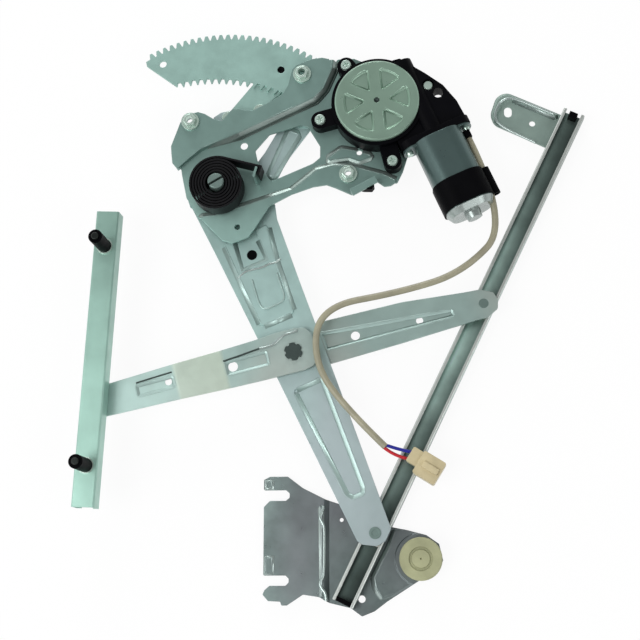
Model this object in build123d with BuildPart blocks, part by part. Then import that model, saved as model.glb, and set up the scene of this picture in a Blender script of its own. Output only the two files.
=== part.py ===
"""Window regulator: motor-driven scissor with a toothed sector, lying flat.

Millimetres. The lift arm's pivot is the datum while the parts are drawn; at the end
everything is shifted so that the frame's origin is the middle of the floor under the
regulator. The sheet-metal planes are parallel to XY and +Z points to the cabin side,
where the weld nuts, the studs and the motor are.
"""
from build123d import *
from math import acos, asin, cos, degrees, pi, radians, sin, tan
import os

# Linkage: lengths between pin centres, and directions at rest
pivot_to_centre = 152.0
centre_to_slider = 160.0
centre_to_guide = 166.0
lift_angle = -66.0
cross_angle = 14.0
guide_angle = 87.2
channel_angle = (lift_angle + cross_angle + 180) / 2

# Gears
module = 2.0
sector_tooth_full_count = 140
sector_tooth_count = 38
count_before_mesh = 2
pinion_tooth_count = 8
pressure_angle = 20.0
gear_centres = 149.0
gear_angle = 26.8
sector_tip = 142.0
sector_root = 137.7
pinion_tip = 10.3
pinion_root = 6.8
sector_tooth = 2.95
pinion_tooth = 3.1

# Worm drive
wheel_tooth_count = 60
worm_offset = 32.0
worm_pitch_radius = 5.6
worm_tip = worm_pitch_radius + 0.9
worm_root = worm_pitch_radius - 1.0
worm_clearance = 0.25
motor_angle = -66.5
motor_z = 37.0

# Sheet thicknesses
arm_sheet = 2.5
plate_sheet = 2.0
channel_sheet = 1.5

# Heights of the layers above the floor
channel_z = 2.0
channel_height = 11.0
rear_z = 14.5
lift_z = 17.5
web_z = lift_z + arm_sheet
rim_rise = 1.5
front_z = 22.0
guide_rise = 3.0
base_z = 25.0
upper_rise = 4.0
lower_rise = 1.5
guide_z = 28.5
guide_depth = 16.0

# Sections of the channels
channel_width = 18.5
guide_width = 19.0
channel_slot = 13.0
guide_slot = 9.5

# Clearances
running = 0.05
slide_gap = 0.3
shoulder_gap = 0.5

# Pins
pivot_pin_radius = 7.0
centre_bush = 9.0
centre_shank = 6.0
slider_pin = 4.0
slider_rivet = 4.0
slider_shoulder = 7.5
sector_rivet = 4.0


def polar(radius, angle, centre=(0.0, 0.0)):
    """Point at a radius and an angle in degrees from a centre."""
    return (centre[0] + radius * cos(radians(angle)), centre[1] + radius * sin(radians(angle)))


def turned(origin, angle, z=0.0):
    """Horizontal plane at a point, with its x axis turned by an angle in degrees."""
    x_dir = (cos(radians(angle)), sin(radians(angle)), 0)
    return Plane(origin=(origin[0], origin[1], z), x_dir=x_dir, z_dir=(0, 0, 1))


def upright(origin, angle, z=0.0):
    """Vertical plane at a point, facing along an angle, with x to the left and y up."""
    left = (cos(radians(angle + 90)), sin(radians(angle + 90)), 0)
    ahead = (cos(radians(angle)), sin(radians(angle)), 0)
    return Plane(origin=(origin[0], origin[1], z), x_dir=left, z_dir=ahead)


# Pin centres at rest
pivot = (0.0, 0.0)
centre = polar(pivot_to_centre, lift_angle, pivot)
lower_slider = polar(centre_to_slider, lift_angle, centre)
upper_slider = polar(centre_to_slider, cross_angle, centre)
guide_slider = polar(-centre_to_guide, cross_angle, centre)
gear = polar(gear_centres, gear_angle, pivot)
lift_length = pivot_to_centre + centre_to_slider

lift_plane = turned(pivot, lift_angle, lift_z)
front_plane = turned(centre, cross_angle + 180, front_z)
rear_plane = turned(centre, cross_angle, rear_z)
channel_plane = turned(upper_slider, channel_angle)
guide_plane = turned(guide_slider, guide_angle)

# Working radii of the sector and the pinion at their real centre distance
drive_ratio = sector_tooth_full_count / pinion_tooth_count
pinion_pitch = gear_centres / (1 + drive_ratio)
sector_pitch = gear_centres - pinion_pitch
sector_base = module * sector_tooth_full_count / 2 * cos(radians(pressure_angle))
pinion_base = module * pinion_tooth_count / 2 * cos(radians(pressure_angle))
tooth_step = 360 / sector_tooth_full_count


def involute(base_radius, radius):
    """Involute function of the pressure angle at a radius."""
    angle = acos(min(1.0, base_radius / radius))
    return tan(angle) - angle


def tooth(base_radius, root, tip, pitch_radius, thickness, middle):
    """Points of one tooth from its right root, over the tip, to its left root."""
    start = max(root, base_radius)
    radii = [start, (start + pitch_radius) / 2, (pitch_radius + tip) / 2, tip]
    half = thickness / 2 / pitch_radius + involute(base_radius, pitch_radius)
    side = [(radius, half - involute(base_radius, radius)) for radius in radii]
    if root < start:
        side.insert(0, (root, side[0][1]))
    right = [polar(radius, middle - degrees(angle)) for radius, angle in side]
    left = [polar(radius, middle + degrees(angle)) for radius, angle in reversed(side)]
    return right + left


def sector_teeth(first, count, offset=(0.0, 0.0)):
    """Points of a run of sector teeth, shifted by an offset."""
    points = []
    for index in range(count):
        middle = first + index * tooth_step
        points += tooth(sector_base, sector_root, sector_tip, sector_pitch, sector_tooth, middle)
    return [(x + offset[0], y + offset[1]) for x, y in points]


# Lift arm: tapered pressed arm with a two-legged head that carries the sector
sector_rivets_at = [(5.0, 66.0), (32.0, 71.5), (68.0, 63.5)]
field_rise = 1.2
pad_rise = 0.8
plug_at = (61.0, 1.5)
plug_radius = 4.3

with BuildPart() as lift_arm:
    with BuildSketch(lift_plane):
        with BuildLine():
            Polyline((-8, -29), (48, -26), (165, -21), (lift_length, -15.5), (lift_length + 4, -13),
                     (lift_length + 10, -3), (lift_length + 9, 5), (lift_length + 2, 13), (215, 20.5),
                     (98, 28.5), (41, 33), (29, 36.5), (10, 34), (-8, 28), close=True)
        make_face()
    with BuildSketch(Plane.XY.offset(lift_z)):
        with BuildLine():
            Polyline((-27, -12), (-31, 0), (-27, 20), (-16, 50), (-8, 68), (-2, 72), (30, 78), (62, 82),
                     (80, 76), (84, 66), (76, 55), (55, 27), (47, 11), (44.5, -4), (38, -20), (0, -30),
                     close=True)
        make_face()
    extrude(amount=arm_sheet)
    # Opening between the two legs of the head
    with BuildSketch(Plane.XY.offset(lift_z)):
        with BuildLine():
            Polyline((10, 38), (18, 29), (30, 26), (36, 34), (47, 53), (42, 60), (12, 56), close=True)
        make_face()
        fillet(vertices(), 2)
    extrude(amount=arm_sheet, mode=Mode.SUBTRACT)
    # Raised field between the pivot and the centre rivet, hollow behind, with a pad on top
    with BuildSketch(lift_plane.offset(arm_sheet)):
        with BuildLine():
            Polyline((42, -17), (121, -16), (122, 14), (76, 18), (42, 24), close=True)
        make_face()
        fillet(vertices(), 3)
    extrude(amount=field_rise, taper=30)
    with BuildSketch(lift_plane):
        with BuildLine():
            Polyline((44, -14.5), (118, -13.5), (119, 11.5), (76, 15.5), (44, 21), close=True)
        make_face()
        fillet(vertices(), 2)
    extrude(amount=field_rise, taper=30, mode=Mode.SUBTRACT)
    with BuildSketch(lift_plane.offset(arm_sheet + field_rise)):
        with BuildLine():
            Polyline((74.5, -10), (77, 13.5), (107.5, 10.5), (107, -9.5), close=True)
        make_face()
        fillet(vertices(), 2.5)
    extrude(amount=pad_rise, taper=20)
    # Sunk pocket round the upper hole
    with BuildSketch(lift_plane.offset(arm_sheet + field_rise)):
        with BuildLine():
            Polyline((38, -9.5), (38, 13), (52, 12.5), (71, 12), (70.5, -12), (44, -9), close=True)
        make_face()
    extrude(amount=-field_rise - 0.3, mode=Mode.SUBTRACT)
    # Long sunk panel between the centre rivet and the lower slider, standing out behind
    with BuildSketch(lift_plane):
        with BuildLine():
            Polyline((182, -11.5), (275, -7), (278, -3.5), (278, 3.5), (275, 5.5), (182, 11.5), close=True)
        make_face()
        fillet(vertices(), 2)
    extrude(amount=-field_rise, taper=30)
    with BuildSketch(lift_plane.offset(arm_sheet)):
        with BuildLine():
            Polyline((180, -13.5), (276, -9), (281, -5), (281, 5), (276, 7.5), (180, 13.5), close=True)
        make_face()
        fillet(vertices(), 3)
    extrude(amount=-field_rise, taper=30, mode=Mode.SUBTRACT)
    # Rib along the right-hand leg of the head
    with BuildSketch(Plane.XY.offset(web_z)):
        with BuildLine():
            Polyline((39, 12), (44, 12), (66, 50), (57, 54), close=True)
        make_face()
        fillet(vertices(), 1.5)
    extrude(amount=field_rise, taper=20)
    with BuildSketch(lift_plane.offset(-5)):
        Circle(pivot_pin_radius)
        with Locations(plug_at):
            Circle(plug_radius)
        with Locations((pivot_to_centre, 0)):
            Circle(centre_bush + running)
        with Locations((lift_length, 0)):
            Circle(slider_rivet)
    extrude(amount=15, mode=Mode.SUBTRACT)
    with BuildSketch(Plane.XY.offset(lift_z - 5)):
        with Locations(*sector_rivets_at):
            Circle(sector_rivet)
    extrude(amount=15, mode=Mode.SUBTRACT)
lift_arm.part.label = "lift_arm"

# Dark plug that closes the arm's upper hole, with its flange in the hollow behind
with BuildPart() as arm_plug:
    with BuildSketch(lift_plane.offset(field_rise)):
        with Locations(plug_at):
            Circle(plug_radius)
    extrude(amount=arm_sheet - field_rise - 0.3)
    with BuildSketch(lift_plane.offset(field_rise - 1)):
        with Locations(plug_at):
            Circle(plug_radius + 1.2)
    extrude(amount=1)
arm_plug.part.label = "arm_plug"

# Sector: toothed rim, its lower edge notched by the next blank, on a web riveted to the arm
next_blank = (-12.0, -40.0)
first_tooth = gear_angle - count_before_mesh * tooth_step
rim_z = web_z + rim_rise

with BuildPart() as sector_gear:
    with BuildSketch(Plane.XY.offset(rim_z)):
        with BuildLine():
            Polyline(*sector_teeth(first_tooth, sector_tooth_count), (-68, 119.5), (-67, 115.5), (-41, 96),
                     (26, 92), (40, 82), (47, 76), (80, 68), (104, 52), (120, 40), (131, 46), close=True)
        make_face()
        with BuildLine():
            Polyline(*sector_teeth(59.6, 21, next_blank), (-41, 72), (56, 72), close=True)
        make_face(mode=Mode.SUBTRACT)
    extrude(amount=arm_sheet)
    with BuildSketch(Plane.XY.offset(web_z)):
        with BuildLine():
            Polyline((25.5, 95), (-1, 63), (2, 58), (36, 63), (60, 56.5), (74, 55), (98, 52), (110, 60),
                     (80, 82), (58, 96), (44, 96), close=True)
        make_face()
    extrude(amount=arm_sheet)
    with BuildSketch(Plane.XY.offset(web_z + 1)):
        with Locations((-53, 117), (50, 107.5)):
            Circle(3.2)
        with Locations(turned((46, 82.5), 37).location):
            SlotOverall(13.5, 1.6)
    extrude(amount=arm_sheet + rim_rise, mode=Mode.SUBTRACT)
    with BuildSketch(Plane.XY.offset(web_z - 1)):
        with Locations(*sector_rivets_at):
            Circle(sector_rivet)
    extrude(amount=6, mode=Mode.SUBTRACT)
sector_gear.part.label = "sector_gear"

with BuildPart() as sector_rivets:
    with BuildSketch(Plane.XY.offset(lift_z - 1)):
        with Locations(*sector_rivets_at):
            Circle(sector_rivet + 2.5)
    extrude(amount=1)
    with BuildSketch(Plane.XY.offset(lift_z)):
        with Locations(*sector_rivets_at):
            Circle(sector_rivet)
    extrude(amount=2 * arm_sheet)
    with BuildSketch(Plane.XY.offset(web_z + arm_sheet)):
        with Locations(*sector_rivets_at):
            Circle(sector_rivet + 2)
    extrude(amount=1.5, taper=30)
sector_rivets.part.label = "sector_rivets"

# Pivot pin: flush behind the arm, turning in the base plate, slotted for the spring
spring_z = 32.0
spring_width = 17.0
pin_top = spring_z + spring_width + 4
slot_angle = 30.0
strip = 1.6
arbor = 6.6

with BuildPart() as pivot_pin:
    with BuildSketch(Plane.XY.offset(lift_z)):
        Circle(pivot_pin_radius)
    extrude(amount=base_z + plate_sheet + 0.3 - lift_z)
    with BuildSketch(Plane.XY.offset(web_z)):
        Circle(pivot_pin_radius + 5)
    extrude(amount=base_z - slide_gap - web_z)
    with BuildSketch(Plane.XY.offset(base_z + plate_sheet + 0.3)):
        Circle(arbor)
    extrude(amount=pin_top - base_z - plate_sheet - 0.3)
    chamfer(faces().sort_by(Axis.Z)[-1].edges(), 0.8)
    with BuildSketch(turned(pivot, slot_angle, spring_z - 1)):
        Rectangle(2 * arbor + 2, strip + 0.4)
    extrude(amount=pin_top, mode=Mode.SUBTRACT)
pivot_pin.part.label = "pivot_pin"

with BuildPart() as pivot_washer:
    with BuildSketch(Plane.XY.offset(base_z + plate_sheet + slide_gap)):
        Circle(13)
        Circle(arbor, mode=Mode.SUBTRACT)
    extrude(amount=2.4)
    chamfer(faces().sort_by(Axis.Z)[-1].edges().sort_by(SortBy.RADIUS)[-1], 0.6)
pivot_washer.part.label = "pivot_washer"

# Counterbalance spring: flat strip wound clockwise outward, from the pin's slot to the hook
spring_pitch = 2.4
spring_turn_count = 6
spring_outer = 22.8
hook_reach = 32.0
leave_angle = 74.4

with BuildPart() as counter_spring:
    with BuildSketch(turned(pivot, leave_angle, spring_z)) as coil:
        with BuildLine() as wind:
            radius = spring_outer - strip / 2
            middle = 0.0
            side = 0
            for half_turn in range(2 * spring_turn_count):
                CenterArc((middle, 0), radius, 180 * side, 180)
                radius -= spring_pitch / 2
                middle += spring_pitch / 2 if side else -spring_pitch / 2
                side = 1 - side
            Line((spring_outer - strip / 2, 0), (spring_outer - strip / 2, -hook_reach))
            Line((spring_outer - strip / 2, -hook_reach), (spring_outer - 8, -hook_reach))
        trace(line_width=strip)
    extrude(amount=spring_width)
    # Inner tab in the pin's slot
    with BuildSketch(turned(pivot, slot_angle, spring_z)):
        with Locations((5.35, 0)):
            Rectangle(6.3, strip)
    extrude(amount=spring_width)
counter_spring.part.label = "counter_spring"

# Cross arm, cabin-side half: cranked upward toward the guide slider
crank_start = 58.0
crank_end = 98.0
front_end = centre_to_guide + 12

with BuildPart() as cross_arm_front:
    with BuildSketch(Plane(front_plane.origin + front_plane.y_dir * 25, x_dir=front_plane.x_dir,
                           z_dir=-front_plane.y_dir)):
        with BuildLine():
            Polyline((-22, 0), (crank_start, 0), (crank_end, guide_rise), (front_end, guide_rise),
                     (front_end, guide_rise + arm_sheet), (crank_end - 1, guide_rise + arm_sheet),
                     (crank_start - 1, arm_sheet), (-22, arm_sheet), close=True)
        make_face()
    extrude(amount=50)
    with BuildSketch(front_plane.offset(-5)):
        with BuildLine():
            Polyline((-5, -19), (-14, -17), (-18, -11), (-18, 9), (-14, 15), (-6, 17), (30, 16.5),
                     (front_end - 10, 12.5), (front_end - 2, 9), (front_end, 0), (front_end - 2, -9),
                     (front_end - 10, -12.5), (30, -17.5), (10, -19), close=True)
        make_face()
        fillet(vertices(), 3)
    extrude(amount=20, mode=Mode.INTERSECT)
    with BuildSketch(front_plane.offset(arm_sheet)):
        with Locations((39, -0.5)):
            RectangleRounded(36, 12, 2)
    extrude(amount=-0.8, mode=Mode.SUBTRACT)
    with BuildSketch(front_plane.offset(arm_sheet + guide_rise)):
        with Locations((116, -0.8)):
            RectangleRounded(32, 10, 2)
    extrude(amount=-0.8, mode=Mode.SUBTRACT)
    with BuildSketch(front_plane.offset(-5)):
        Circle(centre_shank)
        with Locations((51, -1)):
            Circle(4.1)
        with Locations((105, -2)):
            Circle(3)
        with Locations((centre_to_guide, 0)):
            Circle(slider_rivet)
    extrude(amount=20, mode=Mode.SUBTRACT)
cross_arm_front.part.label = "cross_arm_front"

# Cross arm, glass-side half: straight, with a tapering sunk channel
with BuildPart() as cross_arm_rear:
    with BuildSketch(rear_plane):
        with BuildLine():
            Polyline((0, -18), (27, -16), (88, -14.5), (150, -12), (centre_to_slider, -12), (170, -7),
                     (172, 0), (170, 7), (centre_to_slider, 12), (147, 13), (96, 18.5), (28, 20),
                     (0, 19), (-13, 13), (-18, 0), (-13, -13), close=True)
        make_face()
        fillet(vertices(), 3)
    extrude(amount=arm_sheet)
    with BuildSketch(rear_plane):
        with BuildLine():
            Polyline((26, 8), (134, 0), (134, -2.5), (28, -2.5), close=True)
        make_face()
        fillet(vertices(), 1)
    extrude(amount=-1, taper=20)
    with BuildSketch(rear_plane.offset(arm_sheet)):
        with BuildLine():
            Polyline((24, 11), (134, 2), (135, -4.5), (26, -4.5), close=True)
        make_face()
        fillet(vertices(), 1.5)
    extrude(amount=-1, taper=20, mode=Mode.SUBTRACT)
    with BuildSketch(rear_plane.offset(-5)):
        Circle(centre_shank)
        with Locations((52, 1.6)):
            Circle(3.8)
        with Locations((106, 0)):
            Circle(3)
        with Locations((centre_to_slider, 0)):
            Circle(slider_rivet)
    extrude(amount=20, mode=Mode.SUBTRACT)
cross_arm_rear.part.label = "cross_arm_rear"

# Centre rivet: both cross-arm halves are fixed on it and the lift arm turns on its bush
with BuildPart() as centre_rivet:
    with BuildSketch(turned(centre, 0, rear_z)):
        Circle(centre_shank)
    extrude(amount=front_z + arm_sheet - rear_z)
    with BuildSketch(turned(centre, 0, rear_z + arm_sheet)):
        Circle(centre_bush)
    extrude(amount=front_z - rear_z - arm_sheet)
    with BuildSketch(turned(centre, 0, front_z + arm_sheet)):
        Circle(centre_shank + 1.4)
        with PolarLocations(centre_shank + 1.6, 6, start_angle=10):
            Circle(1.5, mode=Mode.SUBTRACT)
    extrude(amount=1.5)
centre_rivet.part.label = "centre_rivet"

# Slider pins: riveted in the arms, with a shoulder between arm and channel lips
lip_top = channel_z + channel_height
shoe_low = channel_z + channel_sheet + slide_gap
shoe_high = lip_top - channel_sheet - slide_gap

with BuildPart() as lower_slider_pin:
    with BuildSketch(turned(lower_slider, 0, shoe_low + 1)):
        Circle(slider_pin)
    extrude(amount=lift_z - shoe_low - 1)
    with BuildSketch(turned(lower_slider, 0, lip_top + shoulder_gap)):
        Circle(slider_shoulder)
    extrude(amount=lift_z - lip_top - shoulder_gap)
    with BuildSketch(turned(lower_slider, 0, lift_z)):
        Circle(slider_rivet)
    extrude(amount=arm_sheet)
    with BuildSketch(turned(lower_slider, 0, web_z)):
        Circle(slider_rivet + 0.8)
        Circle(2.6, mode=Mode.SUBTRACT)
    extrude(amount=0.5)
lower_slider_pin.part.label = "lower_slider_pin"

with BuildPart() as upper_slider_pin:
    with BuildSketch(turned(upper_slider, 0, shoe_low + 1)):
        Circle(slider_pin)
    extrude(amount=rear_z - shoe_low - 1)
    with BuildSketch(turned(upper_slider, 0, lip_top + shoulder_gap)):
        Circle(slider_shoulder)
    extrude(amount=rear_z - lip_top - shoulder_gap)
    with BuildSketch(turned(upper_slider, 0, rear_z)):
        Circle(slider_rivet)
    extrude(amount=arm_sheet)
upper_slider_pin.part.label = "upper_slider_pin"

guide_arm_top = front_z + guide_rise + arm_sheet
guide_shoe_low = guide_z + channel_sheet + slide_gap
guide_shoe_high = guide_z + guide_depth - channel_sheet - slide_gap

with BuildPart() as guide_slider_pin:
    with BuildSketch(turned(guide_slider, 0, guide_arm_top - arm_sheet)):
        Circle(slider_rivet)
    extrude(amount=arm_sheet)
    with BuildSketch(turned(guide_slider, 0, guide_arm_top)):
        Circle(slider_shoulder)
    extrude(amount=guide_z - shoulder_gap - guide_arm_top)
    with BuildSketch(turned(guide_slider, 0, guide_arm_top)):
        Circle(slider_pin)
    extrude(amount=guide_shoe_high - 1 - guide_arm_top)
guide_slider_pin.part.label = "guide_slider_pin"


def shoe(plane, low, high, width):
    """Plastic slider block with a blind bore for its pin."""
    pin_side = 1 if plane is guide_plane else -1
    with BuildPart() as block:
        with BuildSketch(plane.offset(low)):
            RectangleRounded(18, width, 3)
        extrude(amount=high - low)
        bore_from = low if pin_side > 0 else high
        with BuildSketch(plane.offset(bore_from)):
            Circle(slider_pin + running)
        extrude(amount=pin_side * (high - low - 0.9), mode=Mode.SUBTRACT)
    return block.part


channel_inside = channel_width - 2 * channel_sheet - 2 * slide_gap
guide_inside = guide_width - 2 * channel_sheet - 2 * slide_gap
lower_plane = turned(lower_slider, channel_angle)

with BuildPart() as lower_shoe:
    add(shoe(lower_plane, shoe_low, shoe_high, channel_inside))
lower_shoe.part.label = "lower_shoe"

with BuildPart() as upper_shoe:
    add(shoe(channel_plane, shoe_low, shoe_high, channel_inside))
upper_shoe.part.label = "upper_shoe"

with BuildPart() as guide_shoe:
    add(shoe(guide_plane, guide_shoe_low, guide_shoe_high, guide_inside))
guide_shoe.part.label = "guide_shoe"

# Lift channel: lipped profile that carries the glass brackets, open to the cabin side
channel_top = 183.0
channel_bottom = -266.5
stop_length = 5.0
end_stop_length = 3.5

with BuildPart() as lift_channel:
    with BuildSketch(upright(polar(channel_bottom, channel_angle, upper_slider), channel_angle, channel_z)):
        with Locations((0, channel_height / 2)):
            RectangleRounded(channel_width, channel_height, 1.2)
            Rectangle(channel_width - 2 * channel_sheet, channel_height - 2 * channel_sheet,
                      mode=Mode.SUBTRACT)
        with Locations((0, channel_height)):
            Rectangle(channel_slot, 2 * channel_sheet + 1, mode=Mode.SUBTRACT)
    extrude(amount=channel_top - channel_bottom)
lift_channel.part.label = "lift_channel"

stop_width = channel_width - 2 * channel_sheet
top_stop_width = 7.0
stop_height = channel_height - 2 * channel_sheet

with BuildPart() as channel_stops:
    with BuildSketch(channel_plane.offset(channel_z + channel_sheet)):
        with Locations((channel_top - stop_length / 2, 0)):
            Rectangle(stop_length, top_stop_width)
        with Locations((channel_bottom + end_stop_length / 2, 0)):
            Rectangle(end_stop_length, stop_width)
    extrude(amount=stop_height)
channel_stops.part.label = "channel_stops"

# Upper glass bracket: pressed tray with a raised rim, under the top of the lift channel
with BuildPart() as upper_bracket:
    with BuildSketch(channel_plane):
        with BuildLine():
            Polyline((148, -9), (180, -9), (180, 61), (172, 66.5), (156, 64.5), (149, 58), close=True)
        make_face()
        fillet(vertices().sort_by(Axis.Y)[2:], 10)
    extrude(amount=plate_sheet)
    with BuildSketch(channel_plane.offset(plate_sheet)):
        with BuildLine():
            Polyline((148.5, 12), (179.5, 12), (179.5, 61), (172, 66), (156, 64), (149.5, 58), close=True)
        make_face()
        fillet(vertices().sort_by(Axis.Y)[2:], 9.5)
        with Locations((159.5, 33)):
            RectangleRounded(30, 50, 6, mode=Mode.SUBTRACT)
    extrude(amount=2.0, taper=40)
    with BuildSketch(channel_plane.offset(-1)):
        with Locations(Location((164.3, 51.8), 25)):
            SlotOverall(9.4, 6.6)
        with Locations((163.2, 28.9)):
            Circle(2.6)
    extrude(amount=10, mode=Mode.SUBTRACT)
upper_bracket.part.label = "upper_bracket"

# Lower glass bracket: slotted plate, stepped down under the lift channel, with the roller seat
step_x = 86.0
bracket_step = 3.0
roller = (162.5, -305.0)
roller_radius = 17.0
roller_z = 5.0
roller_height = 10.0

with BuildPart() as lower_bracket:
    with BuildSketch(Plane.XZ.offset(225)):
        with BuildLine():
            Polyline((30, bracket_step), (step_x - 2, bracket_step), (step_x + 2, 0), (185, 0),
                     (185, plate_sheet), (step_x + 3, plate_sheet), (step_x - 1, bracket_step + plate_sheet),
                     (30, bracket_step + plate_sheet), close=True)
        make_face()
    extrude(amount=140)
    # Raised ground beside the channel, and the cone that carries the roller
    with BuildSketch(Plane.XY.offset(plate_sheet)):
        with BuildLine():
            Polyline((140.5, -281), (136, -294), (129, -307), (123, -319), (124.5, -328), (131, -337),
                     (141, -333.5), (182, -309), (184, -286), (160, -279), close=True)
        make_face()
        fillet(vertices(), 2)
    extrude(amount=1.5, taper=45)
    with BuildSketch(turned(roller, 0, plate_sheet)):
        Circle(roller_radius + 5.5)
    extrude(amount=roller_z - 0.5 - plate_sheet, taper=40)
    with BuildSketch() as bracket_outline:
        with BuildLine():
            Polyline((36, -241), (41, -238.5), (55.5, -238.5), (68, -248), (86, -257), (110, -265),
                     (140, -279.5), (152, -282), (167, -286), (177, -293), (180, -306), (174, -316),
                     (161, -321.5), (135, -338), (125, -345.5), (115, -349.5), (106, -343), (89, -339),
                     (81, -334.5), (68, -332.5), (55, -341), (50.5, -341), (50, -338), (40, -337.5),
                     (35.5, -332.5), (37, -329), (41, -325.5), (54, -325.5), (56.5, -323), (56.5, -320),
                     (54, -317.5), (36, -317.5), (36, -263), (41, -258), (54, -258), (57, -255.5),
                     (57, -252), (54, -249.5), (36, -249.5), close=True)
        make_face()
        fillet(bracket_outline.vertices(), 1.2)
    extrude(amount=20, mode=Mode.INTERSECT)
    # Raised strip along the left edge
    with BuildSketch(Plane.XY.offset(bracket_step + plate_sheet)):
        with Locations((40.5, -309.5)):
            Rectangle(7, 14)
        with Locations((40.5, -245)):
            Rectangle(6, 6.5)
    extrude(amount=1, taper=30)
    # Bead along the step
    with BuildSketch(Plane.XY.offset(bracket_step + plate_sheet)):
        with Locations((83.2, -299)):
            RectangleRounded(2.4, 72, 1)
    extrude(amount=0.8, taper=30)
    # Hollow behind the roller's cone
    with BuildSketch(turned(roller, 0, 0)):
        Circle(roller_radius - 4)
    extrude(amount=roller_z - 0.5 - plate_sheet, taper=30, mode=Mode.SUBTRACT)
    with BuildSketch(Plane.XY.offset(-1)):
        with Locations((115, -336)):
            Circle(2.9)
        with Locations((99, -273.5)):
            Circle(1.6)
        with Locations(roller):
            Circle(4)
    extrude(amount=12, mode=Mode.SUBTRACT)
lower_bracket.part.label = "lower_bracket"

with BuildPart() as roller_pin:
    with BuildSketch(turned(roller, 0, 0)):
        Circle(4)
    extrude(amount=roller_z + roller_height - 3)
roller_pin.part.label = "roller_pin"

with BuildPart() as glass_roller:
    with BuildSketch(turned(roller, 0, roller_z)):
        Circle(roller_radius)
    extrude(amount=roller_height)
    chamfer(edges(), 0.8)
    with BuildSketch(turned(roller, 0, roller_z + roller_height)):
        Circle(9.6)
        Circle(7.0, mode=Mode.SUBTRACT)
        Circle(0.8)
    extrude(amount=-1.4, taper=20, mode=Mode.SUBTRACT)
    with BuildSketch(turned(roller, 0, roller_z)):
        Circle(4 + running)
    extrude(amount=roller_height - 2.6, mode=Mode.SUBTRACT)
glass_roller.part.label = "glass_roller"

# Guide channel: short lipped profile, open to the glass side, with two studs
guide_top = 158.0
guide_bottom = -86.0
studs_at = (128.0, -53.0)
stud_radius = 3.0
stud_length = 32.0
sleeve_radius = 5.7
guide_face = guide_z + guide_depth

with BuildPart() as guide_channel:
    with BuildSketch(upright(polar(guide_bottom, guide_angle, guide_slider), guide_angle, guide_z)):
        with Locations((0, guide_depth / 2)):
            RectangleRounded(guide_width, guide_depth, 1.5)
            Rectangle(guide_width - 2 * channel_sheet, guide_depth - 2 * channel_sheet,
                      mode=Mode.SUBTRACT)
        Rectangle(guide_slot, 2 * channel_sheet + 1, mode=Mode.SUBTRACT)
    extrude(amount=guide_top - guide_bottom)
    with BuildSketch(guide_plane.offset(guide_face - channel_sheet)):
        with Locations((studs_at[0], 0), (studs_at[1], 0)):
            Circle(stud_radius)
    extrude(amount=channel_sheet, mode=Mode.SUBTRACT)
guide_channel.part.label = "guide_channel"

with BuildPart() as guide_studs:
    with BuildSketch(guide_plane.offset(guide_face - channel_sheet)):
        with Locations((studs_at[0], 0), (studs_at[1], 0)):
            Circle(stud_radius)
    extrude(amount=stud_length + channel_sheet)
    chamfer(guide_studs.faces().sort_by(Axis.Z)[-2:].edges(), 0.5)
    with BuildSketch(guide_plane.offset(guide_face)):
        with Locations((studs_at[0], 0), (studs_at[1], 0)):
            Circle(sleeve_radius + 1)
    extrude(amount=1.5)
guide_studs.part.label = "guide_studs"

with BuildPart() as stud_sleeves:
    with BuildSketch(guide_plane.offset(guide_face + 1.5)):
        with Locations((studs_at[0], 0), (studs_at[1], 0)):
            Circle(sleeve_radius)
            Circle(stud_radius, mode=Mode.SUBTRACT)
    extrude(amount=stud_length - 3.5)
stud_sleeves.part.label = "stud_sleeves"

# Base plate: pressed sheet with a raised upper flange, a window and lugs
upper_z = base_z + upper_rise
lower_z = base_z + lower_rise
plate_top = base_z + plate_sheet
ears_at = [(gear[0] - 26, gear[1] + 35.5), (gear[0] - 48, gear[1] - 12), (gear[0] + 12, gear[1] - 50)]
pinion_opening = 13.0
nuts_at = [(-26.3, 60.4), (69.1, 99.5), (107.8, 10.1)]
nut_bore = 3.0
lug_height = 12.0
screw_radius = 3.0

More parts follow.
